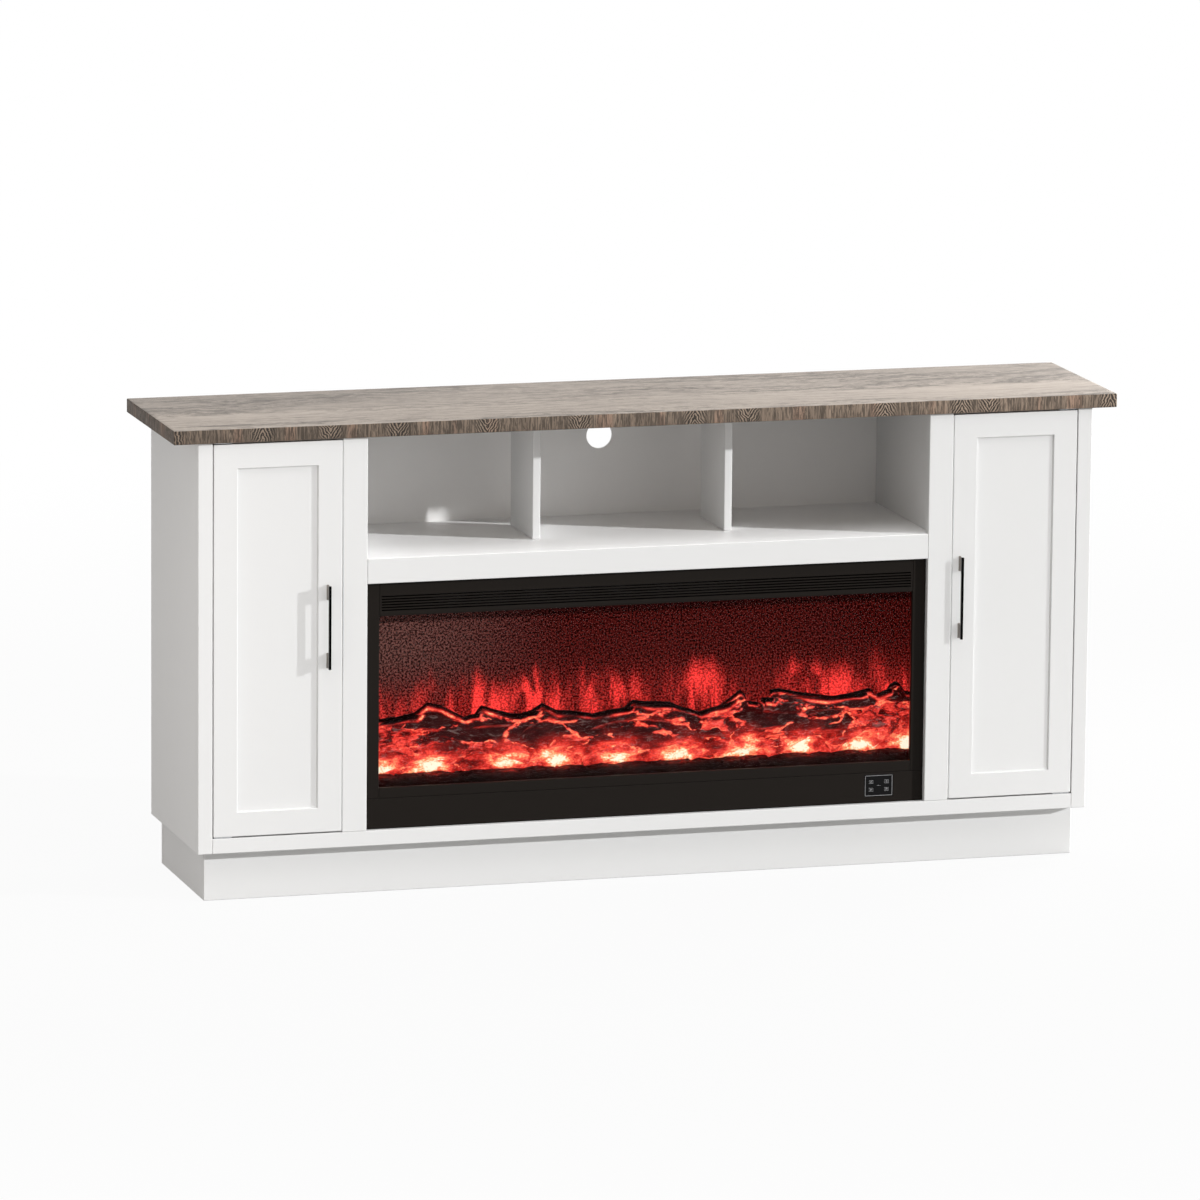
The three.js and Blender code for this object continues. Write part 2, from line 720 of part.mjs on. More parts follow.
// The upright section of the ridge, as shares of its half depth and its height.
const ridge_section_shares = [
  [-1, 0], [-0.92, 0.45], [-0.75, 0.85], [-0.45, 1], [0.45, 1], [0.75, 0.85], [0.92, 0.45], [1, 0],
];

// A closed wall of charred wood under the edge of the ridge, knotty on both faces.
function ridge(centre_y, foot, crest) {
  const stride = ridge_section_shares.length;
  const positions = [];
  const faces = [];
  ridge_edge_shares.forEach(([across, rise], i) => {
    const height = crest + rise * ridge_rise - foot;
    ridge_section_shares.forEach(([deep, up], j) => {
      const knot = 1 + ridge_knot_share * (up > 0 && up < 1 ? Math.sin(2.3 * i + 1.7 * j) : 0);
      positions.push(across * ridge_reach, centre_y + deep * ridge_half_depth * knot, foot + up * height);
    });
  });
  const last = (ridge_edge_shares.length - 1) * stride;
  for (let j = 0; j < stride; j += 1) {
    const k = (j + 1) % stride;
    for (let a = 0; a < last; a += stride) {
      faces.push(a + j, a + stride + j, a + stride + k, a + j, a + stride + k, a + k);
    }
  }
  for (let j = 1; j < stride - 1; j += 1) {
    faces.push(0, j, j + 1, last, last + j + 1, last + j);
  }
  const geometry = new THREE.BufferGeometry();
  geometry.setAttribute('position', new THREE.Float32BufferAttribute(positions, 3));
  geometry.setIndex(faces);
  return geometry;
}

// A knotty log along a curve: rings whose radius swells and narrows.
function log(points, radius, phase) {
  const curve = new THREE.QuadraticBezierCurve3(...points);
  const positions = [...points[0].toArray()];
  const upright = new THREE.Vector3(0, 0, 1);
  for (let i = 0; i < log_ring_count; i += 1) {
    const t = i / (log_ring_count - 1);
    const along = curve.getTangent(t);
    const side = upright.clone().cross(along).normalize();
    const up = along.clone().cross(side);
    const centre = curve.getPoint(t);
    const taper = log_taper_share + (1 - log_taper_share) * Math.sin(Math.PI * (0.2 + t * 0.7));
    for (let j = 0; j < log_side_count; j += 1) {
      const angle = 2 * Math.PI * j / log_side_count;
      const knots = 1 + log_knot_share * Math.sin(3 * angle + 5 * t + phase)
        + log_swell_share * Math.sin(9 * t + 2 * phase);
      const point = centre.clone()
        .addScaledVector(side, radius * taper * knots * Math.cos(angle))
        .addScaledVector(up, radius * taper * knots * Math.sin(angle));
      positions.push(point.x, point.y, point.z);
    }
  }
  positions.push(...points[2].toArray());
  const faces = [];
  const last = 1 + log_ring_count * log_side_count;
  for (let j = 0; j < log_side_count; j += 1) {
    const k = (j + 1) % log_side_count;
    faces.push(0, 1 + k, 1 + j);
    for (let i = 0; i < log_ring_count - 1; i += 1) {
      const a = 1 + i * log_side_count;
      const b = a + log_side_count;
      faces.push(a + j, a + k, b + k, a + j, b + k, b + j);
    }
    const a = last - log_side_count;
    faces.push(a + j, a + k, last);
  }
  const geometry = new THREE.BufferGeometry();
  geometry.setAttribute('position', new THREE.Float32BufferAttribute(positions, 3));
  geometry.setIndex(faces);
  return geometry;
}

// Log set: one moulded piece, logs leaning on the ridge behind them, cut to the lumps of the
// ember bed that it sits in.
function addLogs(group, bed) {
  const bed_top = fire_floor + seam + ember_height;
  const base = bed_top - log_sink + log_radius * log_foot_share;
  const depth = log_back_y - log_front_y;
  const at = (x, h, d) => new THREE.Vector3(x * log_reach, case_front + log_front_y + d * depth,
    base + h * log_rise);
  const logs = log_place_shares.map(([x0, h0, x1, h1, x2, h2, d0, d2, r], i) => {
    const ends = [at(x0, h0, d0), at(x2, h2, d2)];
    const top = at(x1, h1, (d0 + d2) / 2);
    const bend = top.multiplyScalar(2).sub(ends[0].clone().add(ends[1]).multiplyScalar(0.5));
    return log([ends[0], bend, ends[1]], r * log_radius, i);
  });
  logs.push(ridge(case_front + ridge_back_y, bed_top - log_sink, bed_top));
  const seat = bed.geometry.clone().translate(bed.position.x, bed.position.y, bed.position.z + seam);
  const moulded = joined(logs).subtract(solid(seat));
  place(group, 'log_set', geometryOf(withoutPockets(moulded)), finish(0x2a1512, 0.9, 0));
}

// Light board in front of the ember bed, with one lamp under each hot spot.
function addLights(group) {
  const half = case_inner_half_width - light_board_end_margin;
  const y = [case_front + seam, case_front + seam + light_board_depth];
  const z = [fire_floor + seam, fire_floor + seam + light_board_thickness];
  const pieces = [block([-half, half], y, z)];
  const reach = half - light_end_margin;
  for (let i = 0; i < light_count; i += 1) {
    const x = reach * (2 * i / (light_count - 1) - 1);
    const at = [x, middle(y), z[1] + light_height / 2 - edge_ease];
    pieces.push(rod(light_diameter, light_height, 'z', at, 12));
  }
  place(group, 'light_board', geometryOf(joined(pieces)), finish(0xffd9a0, 0.5, 0));
}

// Flicker rod behind the screen, and the motor that turns it.
function addSpinner(group) {
  const [y, z] = spinnerPlace();
  const motor_x = [-case_inner_half_width + seam, -case_inner_half_width + seam + motor_length];
  const end = case_half_width;
  const start = motor_x[1] - motor_bore_depth + 2 * seam;
  const pieces = [rod(spinner_core_diameter, end - start, 'x', [middle([start, end]), y, z], 12)];
  const finned = [motor_x[1] + spinner_end_reach, case_inner_half_width - spinner_end_reach];
  const step = length(finned) / spinner_fin_count;
  for (let i = 0; i < spinner_fin_count; i += 1) {
    const x = finned[0] + (i + 0.5) * step;
    const fin = new THREE.BoxGeometry(spinner_fin_length, spinner_fin_thickness, 2 * spinner_fin_reach);
    fin.rotateX(i * Math.PI * 0.38);
    pieces.push(fin.translate(x, y, z));
  }
  place(group, 'flame_spinner', geometryOf(joined(pieces)), steel());

  const foot = block(motor_x, [y - motor_foot_width / 2, y + motor_foot_width / 2], [fire_floor + seam, z]);
  const bore = rod(spinner_core_diameter + 2 * bearing_clearance, 2 * motor_bore_depth, 'x',
    [motor_x[1] + seam, y, z]);
  const motor = joined([foot, rod(motor_diameter, motor_length, 'x', [middle(motor_x), y, z], 24)]);
  place(group, 'spinner_motor', geometryOf(motor.subtract(solid(bore))), black_plastic());
}

// Blower wheel, its motor and the heater block behind the grille.
function addBlower(group) {
  const [y, z] = blowerPlace();
  const wheel_end = case_inner_half_width - blower_end_gap;
  const wheel_start = wheel_end - blower_length;
  const motor_x = [wheel_start - blower_end_gap - blower_motor_length, wheel_start - blower_end_gap];
  const shaft_start = motor_x[1] - motor_bore_depth + 2 * seam;
  const shaft_end = case_half_width;
  const pieces = [rod(blower_shaft_diameter, shaft_end - shaft_start, 'x',
    [middle([shaft_start, shaft_end]), y, z], 12)];
  for (const x of [wheel_start, middle([wheel_start, wheel_end]), wheel_end]) {
    pieces.push(rod(blower_diameter, blower_disc_thickness, 'x', [x, y, z], 24));
  }
  const blade_height = (blower_diameter - blower_hub_diameter) / 4;
  for (let i = 0; i < blower_blade_count; i += 1) {
    const blade = new THREE.BoxGeometry(blower_length, blower_blade_thickness, blade_height);
    blade.translate(0, 0, blower_diameter / 2 - blade_height / 2 - edge_ease);
    blade.rotateX(2 * Math.PI * i / blower_blade_count);
    pieces.push(blade.translate(middle([wheel_start, wheel_end]), y, z));
  }
  place(group, 'blower_wheel', geometryOf(joined(pieces)), black_plastic());

  const foot = block(motor_x, [y - motor_foot_width / 2, y + motor_foot_width / 2],
    [grille_bottom + seam, z]);
  const bore = rod(blower_shaft_diameter + 2 * bearing_clearance, 2 * motor_bore_depth, 'x',
    [motor_x[1] + seam, y, z]);
  const drum = rod(blower_motor_diameter, blower_motor_length, 'x', [middle(motor_x), y, z], 24);
  const motor = joined([foot, drum]);
  place(group, 'blower_motor', geometryOf(motor.subtract(solid(bore))), steel());

  const heater_y = [case_front + heater_setback, case_front + heater_setback + heater_depth];
  const heater_z = [grille_bottom + seam, grille_bottom + seam + heater_height];
  let heater = solid(block([wheel_start, wheel_end], heater_y, heater_z));
  const pitch = blower_length / heater_fin_count;
  const gap = pitch * heater_fin_gap_share;
  const cut_depth = heater_depth * heater_fin_depth_share;
  for (let i = 0; i < heater_fin_count; i += 1) {
    const x = wheel_start + (i + 0.5) * pitch;
    heater = heater.subtract(solid(block([x - gap / 2, x + gap / 2],
      [heater_y[0] - cut_overrun, heater_y[0] + cut_depth],
      [heater_z[0] - cut_overrun, heater_z[1] + cut_overrun])));
  }
  place(group, 'heater_block', geometryOf(heater), steel());
}

// Power inlet: a flanged socket with three flat pins, in the back wall of the case.
function addInlet(group) {
  const [x, z] = inletPlace();
  const flange_y = [case_back + seam, case_back + seam + inlet_flange_thickness];
  const body_y = [flange_y[1] - inlet_depth, flange_y[1]];
  const box = (grow, y) => block([x - inlet_width / 2 - grow, x + inlet_width / 2 + grow], y,
    [z - inlet_height / 2 - grow, z + inlet_height / 2 + grow]);
  let socket = joined([box(0, body_y), box(inlet_flange, flange_y)]);
  socket = socket.subtract(solid(box(-inlet_wall, [body_y[0] + inlet_wall, flange_y[1] + cut_overrun])));
  for (const side of [-1, 0, 1]) {
    const px = x + side * inlet_pin_pitch;
    const pz = z + (side === 0 ? inlet_pin_height / 2 : 0);
    socket = socket.add(solid(block([px - inlet_pin_width / 2, px + inlet_pin_width / 2],
      [body_y[0] + inlet_wall / 2, flange_y[1] - inlet_flange_thickness],
      [pz - inlet_pin_height / 2, pz + inlet_pin_height / 2])));
  }
  place(group, 'power_inlet', geometryOf(socket), black_plastic());
}

addSlab(stand);
addPlinth(stand);
addCarcass(stand);
addFrontFrame(stand);
addDividers(stand);
addBackPanels(stand);
addCabinetShelves(stand);
for (const [name, side] of sides) {
  addDoor(stand, name, side);
  addHandle(stand, name, side);
  addPivots(stand, name, side);
}
addFireCase(stand);
addBezel(stand);
addGlass(stand);
addControls(stand);
addFlameScreen(stand);
addLogs(stand, addEmbers(stand));
addLights(stand);
addSpinner(stand);
addBlower(stand);
addInlet(stand);

const tv_stand = new THREE.Group();
tv_stand.add(stand);
export default tv_stand;
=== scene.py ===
"""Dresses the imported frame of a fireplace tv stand: a white cabinet with a weathered oak top,
a hinged door at each end, three open cubbies and an electric fire with logs, coals and flames.

Every length is in metres. +X runs to the right seen from the front, the doors and the fire
face -Y, and +Z is up from the floor.
"""

import json
import math

import bmesh
import bpy
import numpy as np
from bpy.props import (
    FloatProperty,
    FloatVectorProperty,
    IntProperty,
    PointerProperty,
)
from mathutils import Matrix, Vector, noise


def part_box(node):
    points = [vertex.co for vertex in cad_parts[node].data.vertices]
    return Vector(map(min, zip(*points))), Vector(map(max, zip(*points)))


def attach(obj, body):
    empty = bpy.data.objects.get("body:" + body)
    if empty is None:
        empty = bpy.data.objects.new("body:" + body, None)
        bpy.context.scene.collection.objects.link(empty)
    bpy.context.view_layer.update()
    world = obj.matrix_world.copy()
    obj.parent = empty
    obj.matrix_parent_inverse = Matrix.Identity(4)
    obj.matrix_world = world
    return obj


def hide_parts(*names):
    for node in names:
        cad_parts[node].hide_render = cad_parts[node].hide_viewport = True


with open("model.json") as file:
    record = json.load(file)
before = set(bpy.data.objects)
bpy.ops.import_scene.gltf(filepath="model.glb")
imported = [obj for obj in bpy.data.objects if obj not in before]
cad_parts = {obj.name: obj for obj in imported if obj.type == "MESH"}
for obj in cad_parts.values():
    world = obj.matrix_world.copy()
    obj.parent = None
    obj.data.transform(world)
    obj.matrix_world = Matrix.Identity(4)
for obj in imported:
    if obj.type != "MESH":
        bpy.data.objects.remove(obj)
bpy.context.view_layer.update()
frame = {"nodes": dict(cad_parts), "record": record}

bl_info = {
    "name": "Fireplace TV Stand",
    "version": (1, 0, 0),
    "blender": (4, 5, 0),
    "location": "View3D > Sidebar > TV Stand",
    "description": "Builds the looks of a white fireplace tv stand round its fixed frame",
    "category": "Object",
}

NODES = frame["nodes"]
SLOT_OF_NODE = {s["node"]: s["material_slot"] for s in frame["record"]["subparts"]}
SIDES = ("left", "right")
KEYS = ("power", "flame", "heat", "timer")

# Middles of the bright spots over the lamps, along X.
HOT_SPOTS_X = (-0.552, -0.439, -0.279, -0.172, -0.043, 0.089, 0.223, 0.350, 0.476, 0.582)
HOT_SPOT_Z = 0.239

# Size of the faces that the logs and the bed of coals are rebuilt in.
LOG_VOXEL = 0.0024
COAL_VOXEL = 0.004

# How far the print on the control panel stands out, how deep it reaches, and its line widths.
PRINT_RISE = 0.00003
PRINT_DEPTH = 0.00008
BORDER_LINE = 0.00055
SIGN_LINE = 0.00042
FRAME_LINE = 0.0004

MM = 0.001


# Shader graph helpers


class Graph:
    """Adds and joins the nodes of one node tree."""

    def __init__(self, tree):
        self.tree = tree

    def node(self, kind, inputs=None, **settings):
        made = self.tree.nodes.new(kind)
        for name, value in settings.items():
            setattr(made, name, value)
        for name, value in (inputs or {}).items():
            self.feed(made.inputs[name], value)
        return made

    def feed(self, socket, value):
        if isinstance(value, bpy.types.NodeSocket):
            self.tree.links.new(value, socket)
        elif isinstance(value, (tuple, list)) and len(value) == 3 and socket.type == "RGBA":
            socket.default_value = (*value, 1.0)
        else:
            socket.default_value = value

    def position(self):
        return self.node("ShaderNodeTexCoord").outputs["Object"]

    def stretched(self, vector, scale, move=(0.0, 0.0, 0.0)):
        mapping = self.node("ShaderNodeMapping", {"Vector": vector, "Scale": scale, "Location": move})
        return mapping.outputs["Vector"]

    def math(self, operation, first, second=0.0, clamp=False):
        made = self.node("ShaderNodeMath", operation=operation, use_clamp=clamp)
        self.feed(made.inputs[0], first)
        self.feed(made.inputs[1], second)
        return made.outputs[0]

    def times(self, first, second):
        return self.math("MULTIPLY", first, second)

    def plus(self, first, second, clamp=False):
        return self.math("ADD", first, second, clamp)

    def minus(self, first, second, clamp=False):
        return self.math("SUBTRACT", first, second, clamp)

    def most(self, first, second):
        return self.math("MAXIMUM", first, second)

    def parts(self, vector):
        """The X, Y and Z of a vector."""
        return self.node("ShaderNodeSeparateXYZ", {"Vector": vector}).outputs

    def red_part(self, colour):
        return self.node("ShaderNodeSeparateColor", {"Color": colour}).outputs["Red"]

    def blend(self, factor, first, second, way="MIX"):
        made = self.node("ShaderNodeMix", data_type="RGBA", blend_type=way)
        self.feed(made.inputs["Factor"], factor)
        self.feed(made.inputs["A"], first)
        self.feed(made.inputs["B"], second)
        return made.outputs["Result"]

    def spread(self, value, low, high, to_low=0.0, to_high=1.0):
        made = self.node(
            "ShaderNodeMapRange",
            {"Value": value, "From Min": low, "From Max": high, "To Min": to_low, "To Max": to_high},
            interpolation_type="SMOOTHSTEP",
        )
        return made.outputs["Result"]

    def ramp(self, value, stops):
        made = self.node("ShaderNodeValToRGB", {"Fac": value})
        elements = made.color_ramp.elements
        while len(elements) < len(stops):
            elements.new(0.5)
        for element, (place, colour) in zip(elements, stops):
            element.position = place
            element.color = (*colour, 1.0) if isinstance(colour, tuple) else (colour,) * 3 + (1.0,)
        return made.outputs["Color"]

    def cloud(self, vector, scale, detail=3.0, roughness=0.55, distortion=0.0):
        made = self.node(
            "ShaderNodeTexNoise",
            {"Vector": vector, "Scale": scale, "Detail": detail, "Roughness": roughness,
             "Distortion": distortion},
        )
        return made.outputs["Fac"]

    def cells(self, vector, scale, feature="F1", randomness=1.0):
        return self.node(
            "ShaderNodeTexVoronoi",
            {"Vector": vector, "Scale": scale, "Randomness": randomness},
            feature=feature,
        )

    def bump(self, height, strength, distance, normal=None):
        inputs = {"Height": height, "Strength": strength, "Distance": distance}
        if normal is not None:
            inputs["Normal"] = normal
        return self.node("ShaderNodeBump", inputs).outputs["Normal"]

    def use(self, group, **inputs):
        made = self.node("ShaderNodeGroup", node_tree=group)
        for name, value in inputs.items():
            self.feed(made.inputs[name.replace("_", " ")], value)
        return made.outputs


def effect(name, inputs, outputs):
    """An empty node group with named sockets, and its graph, group input and group output."""
    tree = bpy.data.node_groups.new(name, "ShaderNodeTree")
    for socket, kind, default in inputs:
        made = tree.interface.new_socket(name=socket, in_out="INPUT", socket_type=kind)
        if default is not None:
            made.default_value = default
    for socket, kind in outputs:
        tree.interface.new_socket(name=socket, in_out="OUTPUT", socket_type=kind)
    graph = Graph(tree)
    given = graph.node("NodeGroupInput").outputs
    result = graph.node("NodeGroupOutput").inputs
    return tree, graph, given, result


def once(make):
    """Builds a group or material on its first use and hands the same one out after that."""
    made = {}

    def get():
        if "it" not in made:
            made["it"] = make()
        return made["it"]

    return get


FLOAT, COLOUR, VECTOR = "NodeSocketFloat", "NodeSocketColor", "NodeSocketVector"


# Effects that several finishes share


@once
def soft_edges():
    """Rounds the look of sharp board and plate edges, and gives a mask of those edges."""
    tree, graph, given, result = effect(
        "Soft edges", [("Radius", FLOAT, 0.001)], [("Normal", VECTOR), ("Edge", FLOAT)]
    )
    rounded = graph.node("ShaderNodeBevel", {"Radius": given["Radius"]}, samples=4).outputs["Normal"]
    facing = graph.node("ShaderNodeNewGeometry").outputs["Normal"]
    along = graph.node("ShaderNodeVectorMath", operation="DOT_PRODUCT")
    graph.feed(along.inputs[0], rounded)
    graph.feed(along.inputs[1], facing)
    away = graph.minus(1.0, along.outputs["Value"])
    graph.feed(result["Normal"], rounded)
    graph.feed(result["Edge"], graph.spread(away, 0.0, 0.25))
    return tree


@once
def roller_film():
    """The slight orange peel, tone drift and faint rubs of a sprayed or rolled film."""
    tree, graph, given, result = effect(
        "Sprayed film",
        [("Tone", FLOAT, 0.03), ("Peel", FLOAT, 900.0)],
        [("Shade", FLOAT), ("Gloss", FLOAT), ("Height", FLOAT)],
    )
    place = graph.position()
    drift = graph.cloud(place, 2.4, 3.0, 0.5)
    mottle = graph.cloud(place, 40.0, 3.0, 0.6)
    peel = graph.cloud(place, given["Peel"], 2.0, 0.5)
    both = graph.plus(graph.times(drift, 0.7), graph.times(mottle, 0.3))
    down = graph.times(graph.minus(both, 0.5), given["Tone"])
    graph.feed(result["Shade"], graph.plus(1.0, graph.times(down, 2.0)))
    graph.feed(result["Gloss"], graph.minus(mottle, 0.5))
    graph.feed(result["Height"], peel)
    return tree


@once
def drawn_lines():
    """Fine straight lines left by a brush or a rolling mill, along the axis that is stretched."""
    tree, graph, given, result = effect(
        "Drawn lines",
        [("Stretch", VECTOR, (900.0, 900.0, 12.0))],
        [("Lines", FLOAT), ("Patches", FLOAT)],
    )
    place = graph.position()
    scaled = graph.node("ShaderNodeVectorMath", operation="MULTIPLY")
    graph.feed(scaled.inputs[0], place)
    graph.feed(scaled.inputs[1], given["Stretch"])
    graph.feed(result["Lines"], graph.cloud(scaled.outputs["Vector"], 1.0, 2.0, 0.6))
    graph.feed(result["Patches"], graph.cloud(place, 22.0, 3.0, 0.6))
    return tree


@once
def settled_dust():
    """A thin grey dust mask on faces that look up, broken by small clear patches."""
    tree, graph, given, result = effect("Settled dust", [("Amount", FLOAT, 0.3)], [("Dust", FLOAT)])
    normal = graph.node("ShaderNodeNewGeometry").outputs["Normal"]
    up = graph.parts(normal)["Z"]
    patches = graph.spread(graph.cloud(graph.position(), 130.0, 4.0, 0.65), 0.35, 0.75)
    lying = graph.times(graph.spread(up, 0.2, 0.95), patches)
    graph.feed(result["Dust"], graph.times(lying, given["Amount"]))
    return tree


@once
def char_and_ash():
    """Burnt bark: near-black char with cracks, and grey ash strokes along the log."""
    tree, graph, given, result = effect(
        "Char and ash",
        [("Ash", FLOAT, 0.5), ("Size", FLOAT, 1.0)],
        [("Colour", COLOUR), ("Cracks", FLOAT), ("Height", FLOAT)],
    )
    place = graph.position()
    sized = graph.node("ShaderNodeVectorMath", {"Scale": given["Size"]}, operation="SCALE")
    graph.feed(sized.inputs[0], place)
    base = sized.outputs["Vector"]
    fibres = graph.cloud(graph.stretched(base, (70.0, 160.0, 230.0)), 1.0, 4.0, 0.7, 0.6)
    strokes = graph.cloud(graph.stretched(base, (38.0, 60.0, 120.0), (3.1, 0.4, 1.7)), 1.0, 5.0, 0.7, 1.2)
    split = graph.cells(graph.stretched(base, (42.0, 90.0, 90.0)), 1.0, "DISTANCE_TO_EDGE")
    cracks = graph.spread(split.outputs["Distance"], 0.0, 0.16, 1.0, 0.0)
    ash = graph.times(graph.spread(strokes, 0.54, 0.64), given["Ash"])
    bark = graph.ramp(fibres, [(0.3, (0.003, 0.002, 0.002)), (0.6, (0.01, 0.006, 0.0055)),
                               (0.85, (0.032, 0.023, 0.021))])
    graph.feed(result["Colour"], graph.blend(ash, bark, (0.26, 0.21, 0.195)))
    graph.feed(result["Cracks"], cracks)
    rough = graph.minus(fibres, graph.times(cracks, 0.6))
    graph.feed(result["Height"], graph.plus(rough, graph.times(ash, 0.2)))
    return tree


@once
def ember_light():
    """The painted glow of resin that looks lit from inside, from a glow value: dark red, orange, pale
    yellow.
    """
    tree, graph, given, result = effect(
        "Ember light", [("Heat", FLOAT, 0.0), ("Break up", FLOAT, 0.5)], [("Light", COLOUR)]
    )
    place = graph.position()
    coarse = graph.cloud(graph.stretched(place, (45.0, 70.0, 85.0)), 1.0, 4.0, 0.7, 0.9)
    fine = graph.cloud(graph.stretched(place, (210.0, 230.0, 280.0)), 1.0, 3.0, 0.75)
    both = graph.plus(graph.times(coarse, 0.5), graph.times(fine, 0.5))
    swing = graph.times(graph.minus(both, 0.5), given["Break up"])
    heat = graph.plus(given["Heat"], graph.times(swing, given["Heat"]), clamp=True)
    graph.feed(
        result["Light"],
        graph.ramp(heat, [
            (0.0, (0.0, 0.0, 0.0)),
            (0.14, (0.025, 0.001, 0.001)),
            (0.3, (0.16, 0.006, 0.005)),
            (0.44, (0.5, 0.02, 0.014)),
            (0.56, (0.8, 0.05, 0.037)),
            (0.68, (0.93, 0.11, 0.065)),
            (0.8, (0.95, 0.32, 0.14)),
            (0.9, (0.98, 0.64, 0.32)),
            (1.0, (1.0, 0.94, 0.74)),
        ]),
    )
    return tree


# Finishes


def material(name):
    """A new material with a Principled shader, and its graph and shader."""
    made = bpy.data.materials.new(name)
    made.use_nodes = True
    graph = Graph(made.node_tree)
    shader = next(n for n in made.node_tree.nodes if n.type == "BSDF_PRINCIPLED")
    return made, graph, shader


def film_finish(name, colour, roughness, tone, edge_tint, radius, specular=0.5, peel=900.0, upper=None):
    """A sprayed film whose rounded edges are rubbed towards edge_tint; upper is painted light, a lighter
    colour on its top faces.
    """
    made, graph, shader = material(name)
    # Painted light: faces that look up take a lighter colour than the others.
    if upper:
        facing = graph.node("ShaderNodeNewGeometry").outputs["True Normal"]
        level = graph.parts(facing)["Z"]
        colour = graph.blend(graph.spread(level, 0.5, 0.9), colour, upper)
    film = graph.use(roller_film(), Tone=tone, Peel=peel)
    edges = graph.use(soft_edges(), Radius=radius)
    shade = graph.blend(1.0, colour, film["Shade"], "MULTIPLY")
    rub = graph.times(edges["Edge"], graph.spread(film["Shade"], 0.98, 1.02, 0.2, 0.6))
    graph.feed(shader.inputs["Base Color"], graph.blend(rub, shade, edge_tint))
    gloss = graph.plus(roughness, graph.times(film["Gloss"], 0.12))
    graph.feed(shader.inputs["Roughness"], gloss)
    graph.feed(shader.inputs["Normal"], graph.bump(film["Height"], 0.12, 0.0001, edges["Normal"]))
    shader.inputs["Specular IOR Level"].default_value = specular
    return made


def board_paint(name, lift=None):
    """The satin paint of the boards; lift paints light onto their upper faces, making them so many times
    brighter.
    """
    shade = tuple(bpy.context.scene.stand_colours.paint)
    bright = lift and tuple(min(0.95, lift * c) for c in shade)
    return film_finish(name, shade, 0.42, 0.012, (0.9, 0.9, 0.89), 0.0012, upper=bright)


@once
def white_paint():
    return board_paint("satin_white_paint")


@once
def shelf_paint_with_painted_light():
    """The paint of the boards under the cubbies, with painted light that makes their upper faces
    brighter.
    """
    return board_paint("cubby_floor_paint_painted_light", 1.43)


@once
def backing_film():
    finish = bpy.context.scene.stand_colours
    return film_finish("white_backing_film", tuple(finish.backing), 0.5, 0.03, (0.5, 0.42, 0.34), 0.0006)


@once
def powder_coat():
    finish = bpy.context.scene.stand_colours
    return film_finish("black_powder_coat", tuple(finish.insert), 0.5, 0.12, (0.02, 0.018, 0.017),
                       0.0008, 0.08, 2200.0)


@once
def black_plastic():
    return film_finish("moulded_black_plastic", (0.011, 0.011, 0.011), 0.34, 0.1, (0.028, 0.028, 0.028),
                       0.0006, 0.35, 1500.0)


@once
def gloss_black():
    made, graph, shader = material("gloss_black_panel")
    film = graph.use(roller_film(), Tone=0.1, Peel=1200.0)
    edges = graph.use(soft_edges(), Radius=0.0005)
    base = graph.blend(1.0, (0.0035, 0.0034, 0.0036), film["Shade"], "MULTIPLY")
    graph.feed(shader.inputs["Base Color"], graph.blend(edges["Edge"], base, (0.05, 0.05, 0.05)))
    graph.feed(shader.inputs["Roughness"], graph.plus(0.12, graph.times(film["Gloss"], 0.1)))
    graph.feed(shader.inputs["Normal"], edges["Normal"])
    shader.inputs["Specular IOR Level"].default_value = 0.1
    return made


def metal_finish(name, bright, dark, roughness, stretch, radius=0.0004):
    """A bare metal with drawn lines and slightly cloudy patches."""
    made, graph, shader = material(name)
    drawn = graph.use(drawn_lines(), Stretch=stretch)
    edges = graph.use(soft_edges(), Radius=radius)
    tone = graph.spread(drawn["Lines"], 0.3, 0.7)
    graph.feed(shader.inputs["Base Color"], graph.blend(tone, dark, bright))
    shader.inputs["Metallic"].default_value = 1.0
    worn = graph.times(graph.minus(drawn["Patches"], 0.5), 0.2)
    graph.feed(shader.inputs["Roughness"], graph.plus(roughness, worn))
    graph.feed(shader.inputs["Normal"], graph.bump(drawn["Lines"], 0.25, 0.00005, edges["Normal"]))
    return made


# Painted reflection: the bars' near-black colour stands for the dark that their polished metal mirrors.
@once
def handle_metal():
    colours = bpy.context.scene.stand_colours
    bright = tuple(colours.handle)
    return metal_finish("polished_nickel_painted_dark_reflection", bright, tuple(0.6 * c for c in bright), 0.16,
                        (1400.0, 1400.0, 9.0))


@once
def brushed_nickel():
    return metal_finish("brushed_nickel", (0.27, 0.24, 0.215), (0.19, 0.17, 0.155), 0.33,
                        (1500.0, 30.0, 1500.0))


@once
def zinc_plate():
    return metal_finish("zinc_plated_steel", (0.66, 0.67, 0.68), (0.46, 0.47, 0.49), 0.36,
                        (300.0, 300.0, 300.0))


@once
def bright_aluminium():
    return metal_finish("bright_aluminium", (0.84, 0.84, 0.85), (0.66, 0.66, 0.68), 0.24,
                        (20.0, 1200.0, 1200.0))


@once
def clear_glass():
    """Anti-glare glass with a few fine smears that take a little light away."""
    made, graph, shader = material("clear_fire_glass")
    smears = graph.cloud(graph.stretched(graph.position(), (6.0, 6.0, 18.0)), 1.0, 4.0, 0.6)
    graph.feed(shader.inputs["Base Color"], graph.blend(smears, (0.93, 0.9, 0.9), (0.97, 0.96, 0.96)))
    shader.inputs["Roughness"].default_value = 0.0
    shader.inputs["Transmission Weight"].default_value = 1.0
    shader.inputs["IOR"].default_value = 1.07
    return made


@once
def icon_print():
    made, graph, shader = material("pale_key_print")
    film = graph.use(roller_film(), Tone=0.2, Peel=1200.0)
    ink = graph.blend(1.0, (0.42, 0.42, 0.43), film["Shade"], "MULTIPLY")
    graph.feed(shader.inputs["Base Color"], ink)
    graph.feed(shader.inputs["Roughness"], graph.plus(0.5, film["Gloss"]))
    return made


# Weathered oak


